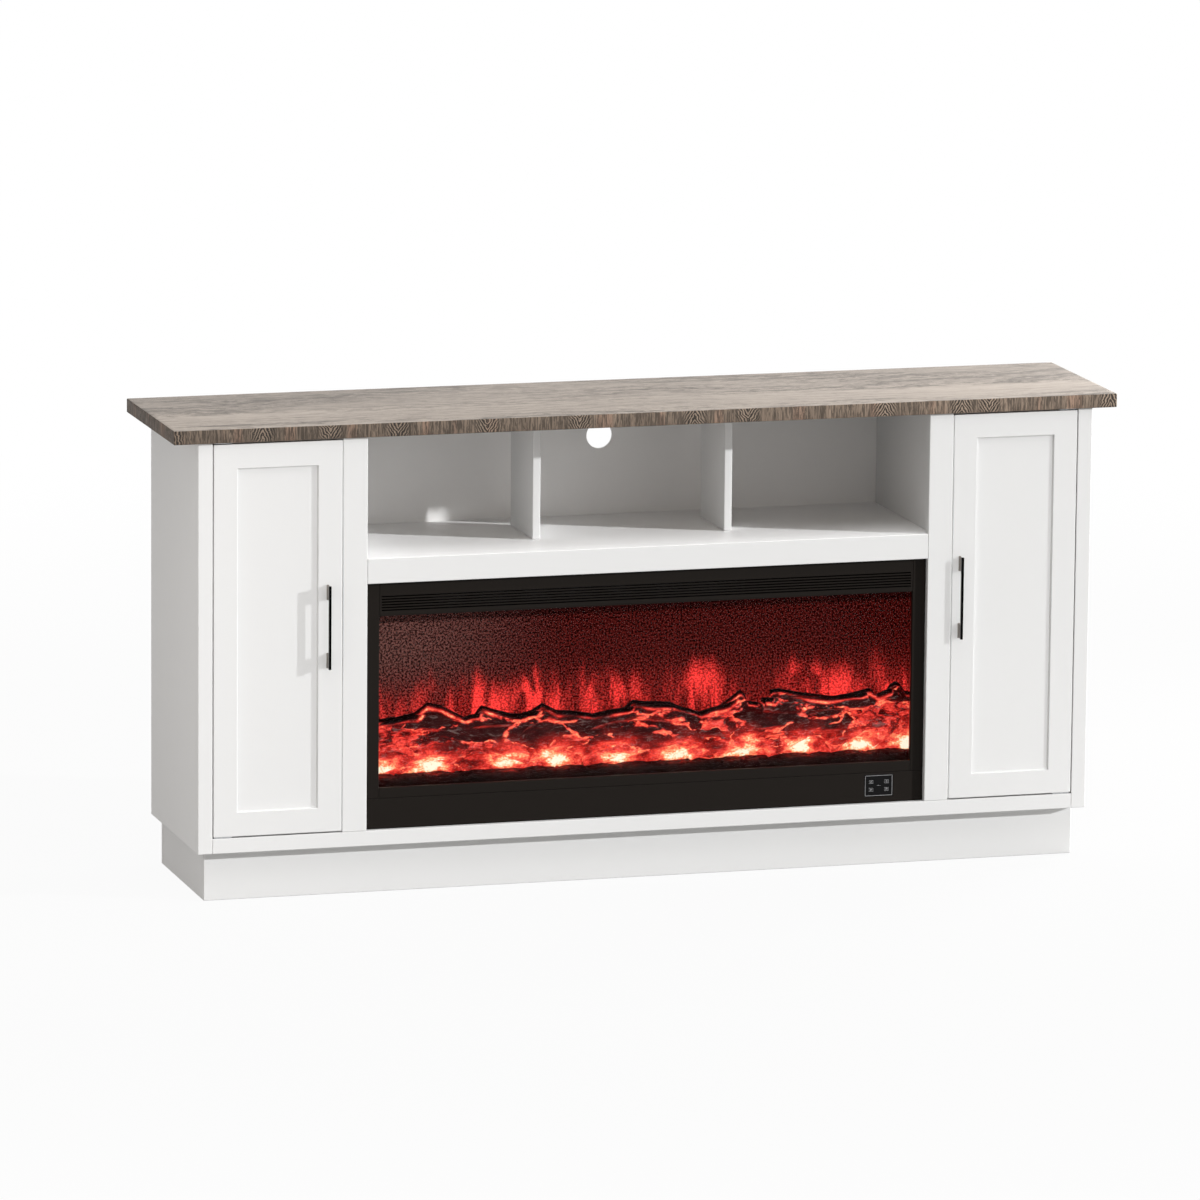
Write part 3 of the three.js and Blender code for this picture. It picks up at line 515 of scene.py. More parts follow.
def oak_colours():
    colours = bpy.context.scene.stand_colours
    light = tuple(colours.oak)
    return light, tuple(0.62 * c for c in light), tuple(0.27 * c for c in light)


@once
def oak_face():
    """The broad face: planks along X, wavy growth lines, dark open pores and a smoother front plank."""
    made, graph, shader = material("weathered_oak_face")
    light, middle, dark = oak_colours()
    low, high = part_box("top_slab")
    width = high.y - low.y
    place = graph.position()
    y = graph.parts(place)["Y"]
    across = graph.math("DIVIDE", graph.minus(y, low.y), width)

    drift = graph.cloud(graph.stretched(place, (1.2, 4.6, 1.0)), 1.0, 1.0, 0.5)
    wander = graph.cloud(graph.stretched(place, (13.0, 30.0, 1.0), (4.2, 1.3, 0.0)), 1.0, 3.0, 0.6)
    bent = graph.plus(graph.times(drift, 9.0), graph.times(wander, 1.7))
    turns = graph.times(graph.plus(bent, graph.times(y, 26.0)), 2.0 * math.pi)
    rings = graph.spread(graph.math("SINE", turns), 0.0, 1.0)
    fine_rings = graph.spread(graph.math("SINE", graph.times(turns, 4.0)), 0.0, 1.0)
    fibres = graph.cloud(graph.stretched(place, (14.0, 620.0, 1.0)), 1.0, 3.0, 0.65)
    pores = graph.cloud(graph.stretched(place, (34.0, 420.0, 1.0), (0.7, 5.2, 0.0)), 1.0, 3.0, 0.7)
    streaks = graph.cloud(graph.stretched(place, (24.0, 82.0, 1.0), (2.7, 3.2, 0.0)), 1.0, 4.0, 0.7, 0.4)
    zone = graph.cloud(graph.stretched(place, (2.2, 9.0, 1.0), (9.1, 2.2, 0.0)), 1.0, 2.0)
    worn = graph.spread(zone, 0.38, 0.6, 0.35, 1.0)
    smooth = graph.times(graph.spread(across, 0.1, 0.16), graph.spread(across, 0.36, 0.45, 1.0, 0.0))
    calm = graph.minus(1.0, graph.times(smooth, 0.6))
    shown = graph.times(calm, worn)
    pore = graph.times(graph.spread(pores, 0.52, 0.62), shown)
    streak = graph.times(graph.times(graph.spread(streaks, 0.5, 0.6), shown), 0.72)
    both = graph.plus(graph.times(rings, 0.56), graph.times(fine_rings, 0.28))
    line = graph.times(both, shown)
    mix = graph.plus(graph.times(fibres, 0.7), graph.times(drift, 0.3))
    pale = tuple(1.32 * c for c in light)
    tint = graph.ramp(mix, [(0.3, middle), (0.5, light), (0.7, pale)])
    back = graph.spread(across, 0.4, 0.55, 1.0, 0.86)
    lined = graph.blend(line, graph.blend(1.0, tint, back, "MULTIPLY"), dark)
    streaked = graph.blend(streak, lined, dark)
    pored = graph.blend(graph.times(pore, 0.7), streaked, tuple(0.8 * c for c in dark))

    edge_one = graph.math("ABSOLUTE", graph.minus(across, 0.25))
    edge_two = graph.math("ABSOLUTE", graph.minus(across, 0.65))
    near = graph.math("MINIMUM", edge_one, edge_two)
    fade = graph.spread(graph.cloud(graph.stretched(place, (1.7, 0.0, 0.0)), 1.0, 2.0), 0.35, 0.62)
    seam = graph.times(graph.spread(near, 0.0006, 0.0036, 1.0, 0.0), fade)
    graph.feed(shader.inputs["Base Color"], graph.blend(graph.times(seam, 0.7), pored, dark))
    graph.feed(shader.inputs["Roughness"], graph.spread(fibres, 0.3, 0.7, 0.52, 0.7))
    height = graph.minus(graph.times(fibres, 0.3), graph.plus(pore, seam))
    graph.feed(shader.inputs["Normal"], graph.bump(height, 0.35, 0.0006))
    shader.inputs["Specular IOR Level"].default_value = 0.3
    return made


def oak_edge_finish(name, along, brightness):
    """The cut edge: fine upright grain in darker and pinker bands, with pointed figures between; the long
    edge also has painted light, darker to the left and lighter to the right.
    """
    made, graph, shader = material(name)
    wood = tuple(brightness * c for c in bpy.context.scene.stand_colours.oak_edge)
    low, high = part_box("top_slab")
    split = graph.parts(graph.position())
    run = split[along]
    height = graph.minus(split["Z"], (low.z + high.z) / 2.0)
    flat = graph.node("ShaderNodeCombineXYZ", {"X": run, "Y": 0.0, "Z": height}).outputs["Vector"]

    figures = 5.6
    nearest = graph.node("ShaderNodeTexVoronoi", {"W": run, "Scale": figures, "Randomness": 0.85},
                         voronoi_dimensions="1D")
    away = graph.math("DIVIDE", nearest.outputs["Distance"], figures)
    kind = graph.red_part(nearest.outputs["Color"])
    lean = graph.times(graph.spread(kind, 0.4, 0.6, -0.6, 0.6), height)
    wobble = graph.minus(graph.cloud(graph.stretched(flat, (55.0, 1.0, 95.0)), 1.0, 2.0), 0.5)
    ring = graph.plus(graph.plus(away, lean), graph.times(wobble, 0.012))
    nested = graph.math("SINE", graph.times(ring, 2.0 * math.pi / 0.0062))
    figure = graph.times(graph.spread(nested, -0.2, 0.8), graph.spread(away, 0.014, 0.034, 1.0, 0.0))
    between = graph.times(graph.spread(nested, -0.3, -0.9), graph.spread(away, 0.01, 0.026, 1.0, 0.0))

    grain = graph.cloud(graph.stretched(flat, (270.0, 1.0, 24.0)), 1.0, 3.0, 0.75, 0.8)
    upright = graph.spread(grain, 0.43, 0.55)
    band = graph.cloud(graph.stretched(flat, (30.0, 1.0, 3.0)), 1.0, 2.0, 0.6)
    hue = graph.cloud(graph.stretched(flat, (17.0, 1.0, 1.0), (3.3, 0.0, 0.0)), 1.0, 1.0)
    pinkish = graph.spread(hue, 0.55, 0.62)
    tone = graph.ramp(band, [(0.32, tuple(0.66 * c for c in wood)),
                             (0.68, tuple(1.26 * c for c in wood))])
    pink = tuple(f * c for f, c in zip((1.45, 1.25, 1.2), wood))
    banded = graph.blend(graph.times(pinkish, 0.75), tone, pink)
    grained = graph.blend(graph.times(upright, 0.8), banded, tuple(0.2 * c for c in wood))
    lighter = graph.blend(graph.times(between, 0.7), grained, tuple(1.7 * c for c in wood))
    figured = graph.blend(graph.times(figure, 0.96), lighter, tuple(0.08 * c for c in wood))
    # Painted light: the long edge darkens towards its left end and lightens towards its right end, where
    # the light comes from.
    if along == "X":
        figured = graph.blend(1.0, figured, graph.spread(run, low.x, high.x, 0.72, 1.12), "MULTIPLY")
    graph.feed(shader.inputs["Base Color"], figured)
    graph.feed(shader.inputs["Roughness"], graph.spread(grain, 0.3, 0.7, 0.55, 0.75))
    sunk = graph.plus(graph.times(grain, 0.5), figure)
    graph.feed(shader.inputs["Normal"], graph.bump(graph.minus(0.0, sunk), 0.3, 0.0005))
    shader.inputs["Specular IOR Level"].default_value = 0.3
    return made


@once
def oak_front_edge():
    return oak_edge_finish("weathered_oak_long_edge", "X", 1.0)


@once
def oak_end():
    return oak_edge_finish("weathered_oak_end", "Y", 0.68)


# Fire finishes


@once
def glowing_logs():
    """Moulded resin logs: charred bark with a painted glow as if lit from inside, brightest along the
    seams of each log.
    """
    made, graph, shader = material("glowing_resin_logs")
    fire = bpy.context.scene.stand_fire
    bark = graph.use(char_and_ash(), Ash=0.5, Size=1.0)
    heat = graph.node("ShaderNodeAttribute", attribute_name="painted_ember_glow").outputs["Fac"]
    rim = graph.node("ShaderNodeAttribute", attribute_name="rim").outputs["Fac"]
    lid = graph.node("ShaderNodeAttribute", attribute_name="crest").outputs["Fac"]
    graph.feed(shader.inputs["Roughness"], graph.spread(bark["Cracks"], 0.0, 1.0, 0.62, 0.85))
    graph.feed(shader.inputs["Normal"], graph.bump(bark["Height"], 0.6, 0.002))
    shader.inputs["Specular IOR Level"].default_value = 0.06

    place = graph.position()
    sway = graph.node("ShaderNodeTexNoise",
                      {"Vector": place, "Scale": 17.0, "Detail": 3.0, "Roughness": 0.6})
    pushed = graph.node("ShaderNodeVectorMath", {"Scale": 0.05}, operation="SCALE")
    graph.feed(pushed.inputs[0], sway.outputs["Color"])
    warped = graph.node("ShaderNodeVectorMath", operation="ADD")
    graph.feed(warped.inputs[0], place)
    graph.feed(warped.inputs[1], pushed.outputs["Vector"])
    shapes = graph.stretched(warped.outputs["Vector"], (8.5, 4.0, 25.0))
    border = graph.cells(shapes, 1.0, "DISTANCE_TO_EDGE", 0.9).outputs["Distance"]
    kind = graph.red_part(graph.cells(shapes, 1.0, "F1", 0.9).outputs["Color"])
    broken = graph.cloud(graph.stretched(place, (26.0, 26.0, 55.0)), 1.0, 4.0, 0.65, 0.4)
    drawn = graph.spread(broken, 0.44, 0.54, 0.1, 1.0)
    patchy = graph.cloud(graph.stretched(place, (13.0, 13.0, 24.0), (2.0, 6.0, 1.0)), 1.0, 2.0, 0.5)
    width = graph.spread(patchy, 0.42, 0.62, 0.035, 0.19)
    near = graph.minus(1.0, graph.math("DIVIDE", border, width), clamp=True)
    seam = graph.times(graph.times(graph.spread(near, 0.1, 0.7), 0.68), drawn)
    lit_shape = graph.spread(kind, 0.66, 0.74, 0.0, 0.54)
    glow = graph.times(graph.spread(broken, 0.42, 0.56, 0.3, 1.0), lit_shape)
    body = graph.most(graph.most(seam, glow), graph.times(broken, 0.24))
    total = graph.most(graph.times(body, lid), graph.times(heat, lid))
    light = graph.use(ember_light(), Heat=graph.most(total, rim), Break_up=2.2)
    graph.feed(shader.inputs["Emission Color"], light["Light"])
    charred = graph.blend(lid, (0.003, 0.002, 0.002), bark["Colour"])
    # Painted light: the base colour also takes a fifth of the glow colour.
    graph.feed(shader.inputs["Base Color"], graph.blend(0.2, charred, light["Light"]))
    shader.inputs["Emission Strength"].default_value = fire.glow
    return made


@once
def glowing_coals():
    """Resin coals: dark lumps in front, with a painted glow between the lumps near the lamps."""
    made, graph, shader = material("glowing_resin_coals")
    fire = bpy.context.scene.stand_fire
    bark = graph.use(char_and_ash(), Ash=0.08, Size=2.0)
    dust = graph.use(settled_dust(), Amount=0.05)
    heat = graph.node("ShaderNodeAttribute", attribute_name="painted_ember_glow").outputs["Fac"]
    graph.feed(shader.inputs["Base Color"], graph.blend(dust["Dust"], bark["Colour"], (0.12, 0.1, 0.09)))
    graph.feed(shader.inputs["Roughness"], graph.spread(bark["Cracks"], 0.0, 1.0, 0.6, 0.85))
    graph.feed(shader.inputs["Normal"], graph.bump(bark["Height"], 0.5, 0.0015))
    shader.inputs["Specular IOR Level"].default_value = 0.04
    light = graph.use(ember_light(), Heat=heat, Break_up=1.9)
    graph.feed(shader.inputs["Emission Color"], light["Light"])
    shader.inputs["Emission Strength"].default_value = fire.glow
    return made


@once
def flame_picture():
    """The lit screen behind the logs: soft red tongues in a red haze under a deep red glow, with a
    painted reflection of the glass that pales its upper left.
    """
    made, graph, shader = material("flame_screen_glow")
    fire = bpy.context.scene.stand_fire
    place = graph.position()
    split = graph.parts(place)
    x, z = split["X"], split["Z"]
    flat = graph.node("ShaderNodeCombineXYZ", {"X": x, "Y": 0.0, "Z": z}).outputs["Vector"]
    line = graph.node("ShaderNodeCombineXYZ", {"X": x, "Y": 0.0, "Z": 0.0}).outputs["Vector"]

    reach = graph.spread(graph.cloud(line, 11.0, 2.0, 0.6), 0.3, 0.7, 0.5, 1.0)
    top = graph.plus(0.345, graph.times(reach, fire.flame_height))
    body = graph.spread(graph.minus(top, z), 0.0, 0.075)
    tongues = graph.cloud(graph.stretched(flat, (38.0, 1.0, 9.0)), 1.0, 2.5, 0.5, 0.5)
    gaps = graph.cloud(graph.stretched(flat, (9.0, 1.0, 2.0), (5.0, 0.0, 0.0)), 1.0, 2.0, 0.5)
    bright = graph.spread(gaps, 0.36, 0.6, 0.2, 1.0)
    side = graph.spread(x, -0.62, -0.36, 0.25, 1.0)
    shown = graph.times(graph.times(body, side), bright)
    licks = graph.times(graph.spread(tongues, 0.42, 0.6), shown)
    haze = graph.spread(z, 0.56, 0.38)
    deep = graph.blend(haze, tuple(fire.backdrop), tuple(1.5 * c for c in fire.backdrop))
    # Painted reflection: the upper left of the screen is blended towards a pale grey-brown, as the glass
    # would mirror it, and its speckle is weaker there.
    pale = graph.times(graph.spread(x, -0.12, -0.56), graph.spread(z, 0.36, 0.5, 0.3, 1.0))
    deep = graph.blend(pale, deep, (0.115, 0.05, 0.042))
    under = graph.plus(0.25, graph.times(shown, 0.75))
    low_haze = graph.times(graph.spread(z, 0.46, 0.36), under)
    hazy = graph.blend(low_haze, deep, (0.27, 0.011, 0.009))
    lit = graph.blend(licks, hazy, (1.0, 0.045, 0.038))
    speck = graph.cloud(flat, 250.0, 1.5, 0.65)
    least = graph.plus(0.1, graph.times(licks, 0.6))
    most = graph.minus(graph.plus(1.55, graph.times(pale, -0.25)), least)
    swing = graph.times(graph.spread(speck, 0.42, 0.58), most)
    dots = graph.plus(least, swing)
    brow = graph.spread(z, 0.539, 0.534, 0.3, 1.0)
    fade = graph.times(dots, brow)
    graph.feed(shader.inputs["Emission Color"], graph.blend(1.0, lit, fade, "MULTIPLY"))
    shader.inputs["Emission Strength"].default_value = fire.flames
    grain = graph.spread(speck, 0.42, 0.58)
    unlit = graph.blend(grain, (0.002, 0.001, 0.001), (0.03, 0.008, 0.007))
    graph.feed(shader.inputs["Base Color"], unlit)
    shader.inputs["Roughness"].default_value = 0.8
    shader.inputs["Specular IOR Level"].default_value = 0.0
    return made


@once
def lamp_strip():
    """A dark circuit board with warm lamps on it."""
    made, graph, shader = material("lamp_strip")
    place = graph.position()
    z = graph.parts(place)["Z"]
    low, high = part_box("light_board")
    board_top = high.z - 0.006
    lamp = graph.spread(z, board_top, board_top + 0.0004)
    mottle = graph.cloud(place, 300.0, 3.0, 0.6)
    board = graph.blend(mottle, (0.008, 0.012, 0.009), (0.02, 0.028, 0.022))
    graph.feed(shader.inputs["Base Color"], graph.blend(lamp, board, (0.7, 0.6, 0.42)))
    graph.feed(shader.inputs["Roughness"], graph.spread(mottle, 0.3, 0.7, 0.45, 0.6))
    graph.feed(shader.inputs["Emission Color"], graph.blend(lamp, (0.0, 0.0, 0.0), (0.9, 0.4, 0.15)))
    shader.inputs["Emission Strength"].default_value = 0.6
    return made


@once
def fins_in_painted_shade():
    """The heater's fins in a near-black brown: painted shade for the dark seen through the grille slots.
    """
    return metal_finish("heater_fins_painted_shade", (0.05, 0.042, 0.036), (0.022, 0.018, 0.016), 0.5,
                        (20.0, 900.0, 900.0))


FINISH_OF_NODE = {
    "heater_block": fins_in_painted_shade,
    "blower_motor": black_plastic,
    # The shelf and rail under the cubbies wear the paint with painted light on their upper faces.
    "centre_shelf": shelf_paint_with_painted_light,
    "middle_rail": shelf_paint_with_painted_light,
}
FINISH_OF_SLOT = {
    "white_board": white_paint,
    "backing_board": backing_film,
    "black_steel": powder_coat,
    "black_plastic": black_plastic,
    "control_gloss": gloss_black,
    "zinc_steel": zinc_plate,
    "brushed_nickel": brushed_nickel,
    "bright_aluminium": bright_aluminium,
    "fire_glass": clear_glass,
    "flame_screen": flame_picture,
    "lamp_board": lamp_strip,
    "oak_top": oak_face,
    "log_resin": glowing_logs,
    "ember_resin": glowing_coals,
}


# Mesh helpers


def piece(name, vertices, faces, body, slot, *materials, smooth=True):
    """A mesh object that rides on a body and wears the materials given; slot is not used."""
    mesh = bpy.data.meshes.new(name)
    mesh.from_pydata([tuple(v) for v in vertices], [], [tuple(f) for f in faces])
    mesh.validate()
    mesh.update()
    return dressed(name, mesh, body, slot, *materials, smooth=smooth)


def dressed(name, mesh, body, slot, *materials, smooth=True):
    for made in materials:
        mesh.materials.append(made)
    if smooth:
        mesh.polygons.foreach_set("use_smooth", [True] * len(mesh.polygons))
    placed = bpy.data.objects.new(name, mesh)
    bpy.context.scene.collection.objects.link(placed)
    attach(placed, body)
    return placed


def from_bmesh(name, shape, body, slot, *materials, smooth=True):
    bmesh.ops.recalc_face_normals(shape, faces=shape.faces)
    mesh = bpy.data.meshes.new(name)
    shape.to_mesh(mesh)
    shape.free()
    return dressed(name, mesh, body, slot, *materials, smooth=smooth)


def turned(shape, profile, place, axis="Z", segments=24):
    """Adds a body of revolution: profile is (radius, height) pairs, closed at both ends."""
    turn = {
        "Z": Matrix.Identity(3),
        "Y": Matrix(((1, 0, 0), (0, 0, 1), (0, -1, 0))),
        "X": Matrix(((0, 0, 1), (0, 1, 0), (-1, 0, 0))),
    }[axis]
    rings = []
    for radius, height in profile:
        ring = []
        for i in range(segments):
            angle = 2.0 * math.pi * i / segments
            spot = turn @ Vector((radius * math.cos(angle), radius * math.sin(angle), height))
            ring.append(shape.verts.new(Vector(place) + spot))
        rings.append(ring)
    for low, high in zip(rings, rings[1:]):
        for i in range(segments):
            j = (i + 1) % segments
            shape.faces.new((low[i], low[j], high[j], high[i]))
    shape.faces.new(tuple(reversed(rings[0])))
    shape.faces.new(tuple(rings[-1]))


def eased_block(shape, low, high, radius, segments=3):
    """Adds a block with rounded edges."""
    low, high = Vector(low), Vector(high)
    made = bmesh.ops.create_cube(shape, size=1.0)["verts"]
    middle = (low + high) / 2.0
    size = high - low
    for vertex in made:
        vertex.co = Vector(c * s + m for c, s, m in zip(vertex.co, size, middle))
    edges = list({edge for vertex in made for edge in vertex.link_edges})
    bmesh.ops.bevel(shape, geom=edges, offset=radius, segments=segments, affect="EDGES", profile=0.5)


def screw_head(shape, place, axis, radius, out, slot_width):
    """Adds a low domed head with a round sunk middle, standing out by out along -axis or +axis."""
    rise = abs(out)
    way = 1.0 if out > 0 else -1.0
    steps = 6
    profile = []
    for i in range(steps):
        angle = 0.5 * math.pi * i / steps
        profile.append((radius * math.cos(angle), way * rise * math.sin(angle)))
    profile.append((slot_width * 0.6, way * rise * 0.98))
    profile.append((slot_width * 0.5, way * rise * 0.45))
    turned(shape, profile, place, axis, 16)


# Sizes, colours and light that a user may change


class StandSizes(bpy.types.PropertyGroup):
    """Sizes of the pieces that are built round the frame."""

    slab_round: FloatProperty(
        name="Slab edge rounding", description="Radius of the eased edges of the top slab",
        default=0.0014, min=0.0004, max=0.004, unit="LENGTH",
    )
    slab_wear: FloatProperty(
        name="Slab edge wear", description="How deep the rubs in the slab edges go",
        default=0.0008, min=0.0, max=0.002, unit="LENGTH",
    )
    handle_round: FloatProperty(
        name="Handle foot rounding", description="Radius of the edges of the handle feet",
        default=0.0009, min=0.0002, max=0.002, unit="LENGTH",
    )
    bark_depth: FloatProperty(
        name="Bark depth", description="Depth of the bark on the logs",
        default=0.0026, min=0.0, max=0.006, unit="LENGTH",
    )
    coal_size: FloatProperty(
        name="Coal size", description="Usual width of one coal in the bed",
        default=0.013, min=0.006, max=0.03, unit="LENGTH",
    )
    coal_count: IntProperty(
        name="Coal count", description="How many loose coals lie on the bed",
        default=420, min=50, max=1200,
    )


class StandColours(bpy.types.PropertyGroup):
    """Colours of the main finishes."""

    paint: FloatVectorProperty(
        name="Paint", description="Colour of the doors, frame and panels",
        default=(0.665, 0.667, 0.664), min=0.0, max=1.0, subtype="COLOR",
    )
    backing: FloatVectorProperty(
        name="Backing", description="Colour of the thin back panels",
        default=(0.79, 0.78, 0.77), min=0.0, max=1.0, subtype="COLOR",
    )
    oak: FloatVectorProperty(
        name="Oak", description="Light tone of the weathered oak, the others follow from it",
        default=(0.355, 0.311, 0.272), min=0.0, max=1.0, subtype="COLOR",
    )
    oak_edge: FloatVectorProperty(
        name="Oak edge", description="Usual tone of the cut edges of the slab",
        default=(0.21, 0.158, 0.118), min=0.0, max=1.0, subtype="COLOR",
    )
    insert: FloatVectorProperty(
        name="Fire insert", description="Colour of the powder-coated steel round the fire",
        default=(0.0082, 0.0062, 0.0048), min=0.0, max=1.0, subtype="COLOR",
    )
    # The near-black default is a painted reflection on the polished bars.
    handle: FloatVectorProperty(
        name="Handle bar", description="Colour of the polished handle bars",
        default=(0.004, 0.0037, 0.0035), min=0.0, max=1.0, subtype="COLOR",
    )


class StandFire(bpy.types.PropertyGroup):
    """How the fire burns."""

    glow: FloatProperty(
        name="Ember glow", description="Strength of the light in the logs and coals",
        default=1.0, min=0.0, max=4.0,
    )
    flames: FloatProperty(
        name="Flame strength", description="Strength of the light on the flame screen",
        default=1.0, min=0.0, max=4.0,
    )
    flame_height: FloatProperty(
        name="Flame height", description="How far the highest flames rise over the logs",
        default=0.115, min=0.02, max=0.2, unit="LENGTH",
    )
    backdrop: FloatVectorProperty(
        name="Backdrop", description="Glow of the screen between and over the flames",
        default=(0.041, 0.0022, 0.0018), min=0.0, max=1.0, subtype="COLOR",
    )


class StudioLook(bpy.types.PropertyGroup):
    """Light and floor round the stand."""

    key_strength: FloatProperty(
        name="Key light", description="Strength of the low light from the right",
        default=4.5, min=0.0, max=20.0,
    )
    top_strength: FloatProperty(
        name="Top light", description="Strength of the soft light from over the front",
        default=1.3, min=0.0, max=20.0,
    )
    left_strength: FloatProperty(
        name="Left light", description="Power of the near lamp beside the left panel",
        default=2.4, min=0.0, max=100.0,
    )
    end_strength: FloatProperty(
        name="End light", description="Power of the near lamp behind the right end, which lights the top",
        default=62.0, min=0.0, max=400.0,
    )
    fill_strength: FloatProperty(
        name="Fill light", description="Strength of the even light from all round",
        default=0.45, min=0.0, max=4.0,
    )
    floor: FloatVectorProperty(
        name="Floor", description="Colour of the plain floor",
        default=(0.38, 0.38, 0.38), min=0.0, max=1.0, subtype="COLOR",
    )
    floor_lift: FloatProperty(
        name="Floor lift", description="How much paler the floor looks than its light makes it",
        default=0.94, min=0.0, max=1.0,
    )


# Stage


class STAND_OT_stage(bpy.types.Operator):
    """Set up the camera, the soft studio light and the pale floor"""

    bl_idname = "stand.stage"
    bl_label = "Stage"

    def execute(self, context):
        set_camera(context.scene)
        set_light(context.scene)
        set_floor(context.scene)
        context.scene.view_settings.view_transform = "Standard"
        return {"FINISHED"}


def set_camera(scene):
    """The camera stands left of the middle, high and far off, with a long lens.

    Turn, tilt and lean are in radians; the place is given from the middle of the slab in depth.
    """
    data = bpy.data.cameras.new("view_camera")
    data.sensor_width = 36.0
    data.lens = 265.8
    data.clip_start = 0.5
    data.clip_end = 200.0
    camera = bpy.data.objects.new("view_camera", data)
    scene.collection.objects.link(camera)
    turn, tilt, lean = 0.2872, -0.1893, 0.0092
    forward = Vector((math.sin(turn) * math.cos(tilt), math.cos(turn) * math.cos(tilt), math.sin(tilt)))
    right = forward.cross(Vector((0.0, 0.0, 1.0))).normalized()
    up = right.cross(forward)
    leaned_right = right * math.cos(lean) + up * math.sin(lean)
    leaned_up = up * math.cos(lean) - right * math.sin(lean)
    axes = Matrix((leaned_right, leaned_up, -forward)).transposed()
    low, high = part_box("top_slab")
    place = (-5.0798, (low.y + high.y) / 2.0 - 17.0375, 3.9483)
    camera.matrix_world = Matrix.Translation(place) @ axes.to_4x4()
    scene.camera = camera


def add_sun(scene, name, strength, width, colour, towards):
    """A far lamp that lies in the direction of towards and looks width degrees wide."""
    data = bpy.data.lights.new(name, "SUN")
    data.energy = strength
    data.angle = math.radians(width)
    data.color = colour
    lamp = bpy.data.objects.new(name, data)
    scene.collection.objects.link(lamp)
    lamp.rotation_mode = "QUATERNION"
    lamp.rotation_quaternion = Vector(towards).normalized().to_track_quat("Z", "Y")
    return lamp


def linked_group(name, objects, state):
    """A collection for light linking: INCLUDE takes only the objects, EXCLUDE everything but them."""
    group = bpy.data.collections.new(name)
    for item in objects:
        group.objects.link(item)
    for entry in group.collection_objects:
        entry.light_linking.link_state = state
    return group


def add_panel(scene, name, power, size, colour, place, target):
    """A near flat lamp at place that faces target; size is its width and height."""
    data = bpy.data.lights.new(name, "AREA")
    data.shape = "RECTANGLE"
    data.size, data.size_y = size
    data.energy = power
    data.color = colour
    lamp = bpy.data.objects.new(name, data)
    scene.collection.objects.link(lamp)
    lamp.location = place
    lamp.rotation_mode = "QUATERNION"
    lamp.rotation_quaternion = (Vector(place) - Vector(target)).to_track_quat("Z", "Y")


def set_light(scene):
    """Low light from the right, soft light from over the front and from the left, and an even fill.

    The doors and the stiles beside their handles have a key light of their own, in two parts. Only one
    part throws a shadow of them, so the shadows of handles and recesses are weak.
    """
    studio = scene.stand_studio
    white = (0.985, 0.992, 1.0)
    low_right = (0.88, -0.409, 0.243)
    mid_right = (0.753, -0.566, 0.334)
    open_share = 0.57
    shaded = {"left": (0.43, low_right), "right": (0.31, mid_right)}
    key_width, top_width = 1.2, 40.0
    handles = {side: [bpy.data.objects[f"{side}_handle_{part}"] for part in ("rod", "feet")]
               for side in SIDES}
    fronts = {side: handles[side] + [NODES[f"{side}_{part}"] for part in ("door", "inner_stile")]
              for side in SIDES}
    both_fronts = sum(fronts.values(), [])
    no_handles = linked_group("all_but_handles", sum(handles.values(), []), "EXCLUDE")
    no_fronts = linked_group("all_but_doors_and_stiles", both_fronts, "EXCLUDE")
    key = add_sun(scene, "key_light", studio.key_strength, key_width, white, low_right)
    key.light_linking.receiver_collection = no_fronts
    key.light_linking.blocker_collection = no_handles
    door_key = add_sun(scene, "door_key", open_share * studio.key_strength, key_width, white, low_right)
    door_key.light_linking.receiver_collection = linked_group("doors_and_stiles", both_fronts, "INCLUDE")
    door_key.light_linking.blocker_collection = no_fronts
    for side, (share, towards) in shaded.items():
        shade = add_sun(scene, f"{side}_door_shade", share * studio.key_strength, key_width, white,
                        towards)
        lit = linked_group(f"{side}_door_and_stile", fronts[side], "INCLUDE")
        shade.light_linking.receiver_collection = lit
    add_sun(scene, "top_light", studio.top_strength, top_width, white, (0.0, -0.3, 0.95))
    add_panel(scene, "left_light", studio.left_strength, (0.4, 1.1), (1.0, 0.93, 0.885),
              (-1.7, -0.75, 0.75), (-0.94, -0.1, 0.6))
    add_panel(scene, "end_light", studio.end_strength, (1.0, 1.0), (1.0, 0.98, 0.96),
              (2.3, 1.0, 1.65), (0.6, 0.0, 0.965))

    world = bpy.data.worlds.new("studio_fill")
    world.use_nodes = True
    scene.world = world
    graph = Graph(world.node_tree)
    light = next(n for n in world.node_tree.nodes if n.type == "BACKGROUND")
    path = graph.node("ShaderNodeLightPath").outputs
    seen = graph.plus(path["Is Camera Ray"], path["Is Transmission Ray"], clamp=True)
    seen = graph.plus(seen, path["Is Glossy Ray"], clamp=True)
    fill = studio.fill_strength
    graph.feed(light.inputs["Color"], graph.blend(seen, (1.0, 0.945, 0.89), (1.0, 1.0, 1.0)))
    graph.feed(light.inputs["Strength"], graph.plus(fill, graph.times(seen, 1.0 - fill)))


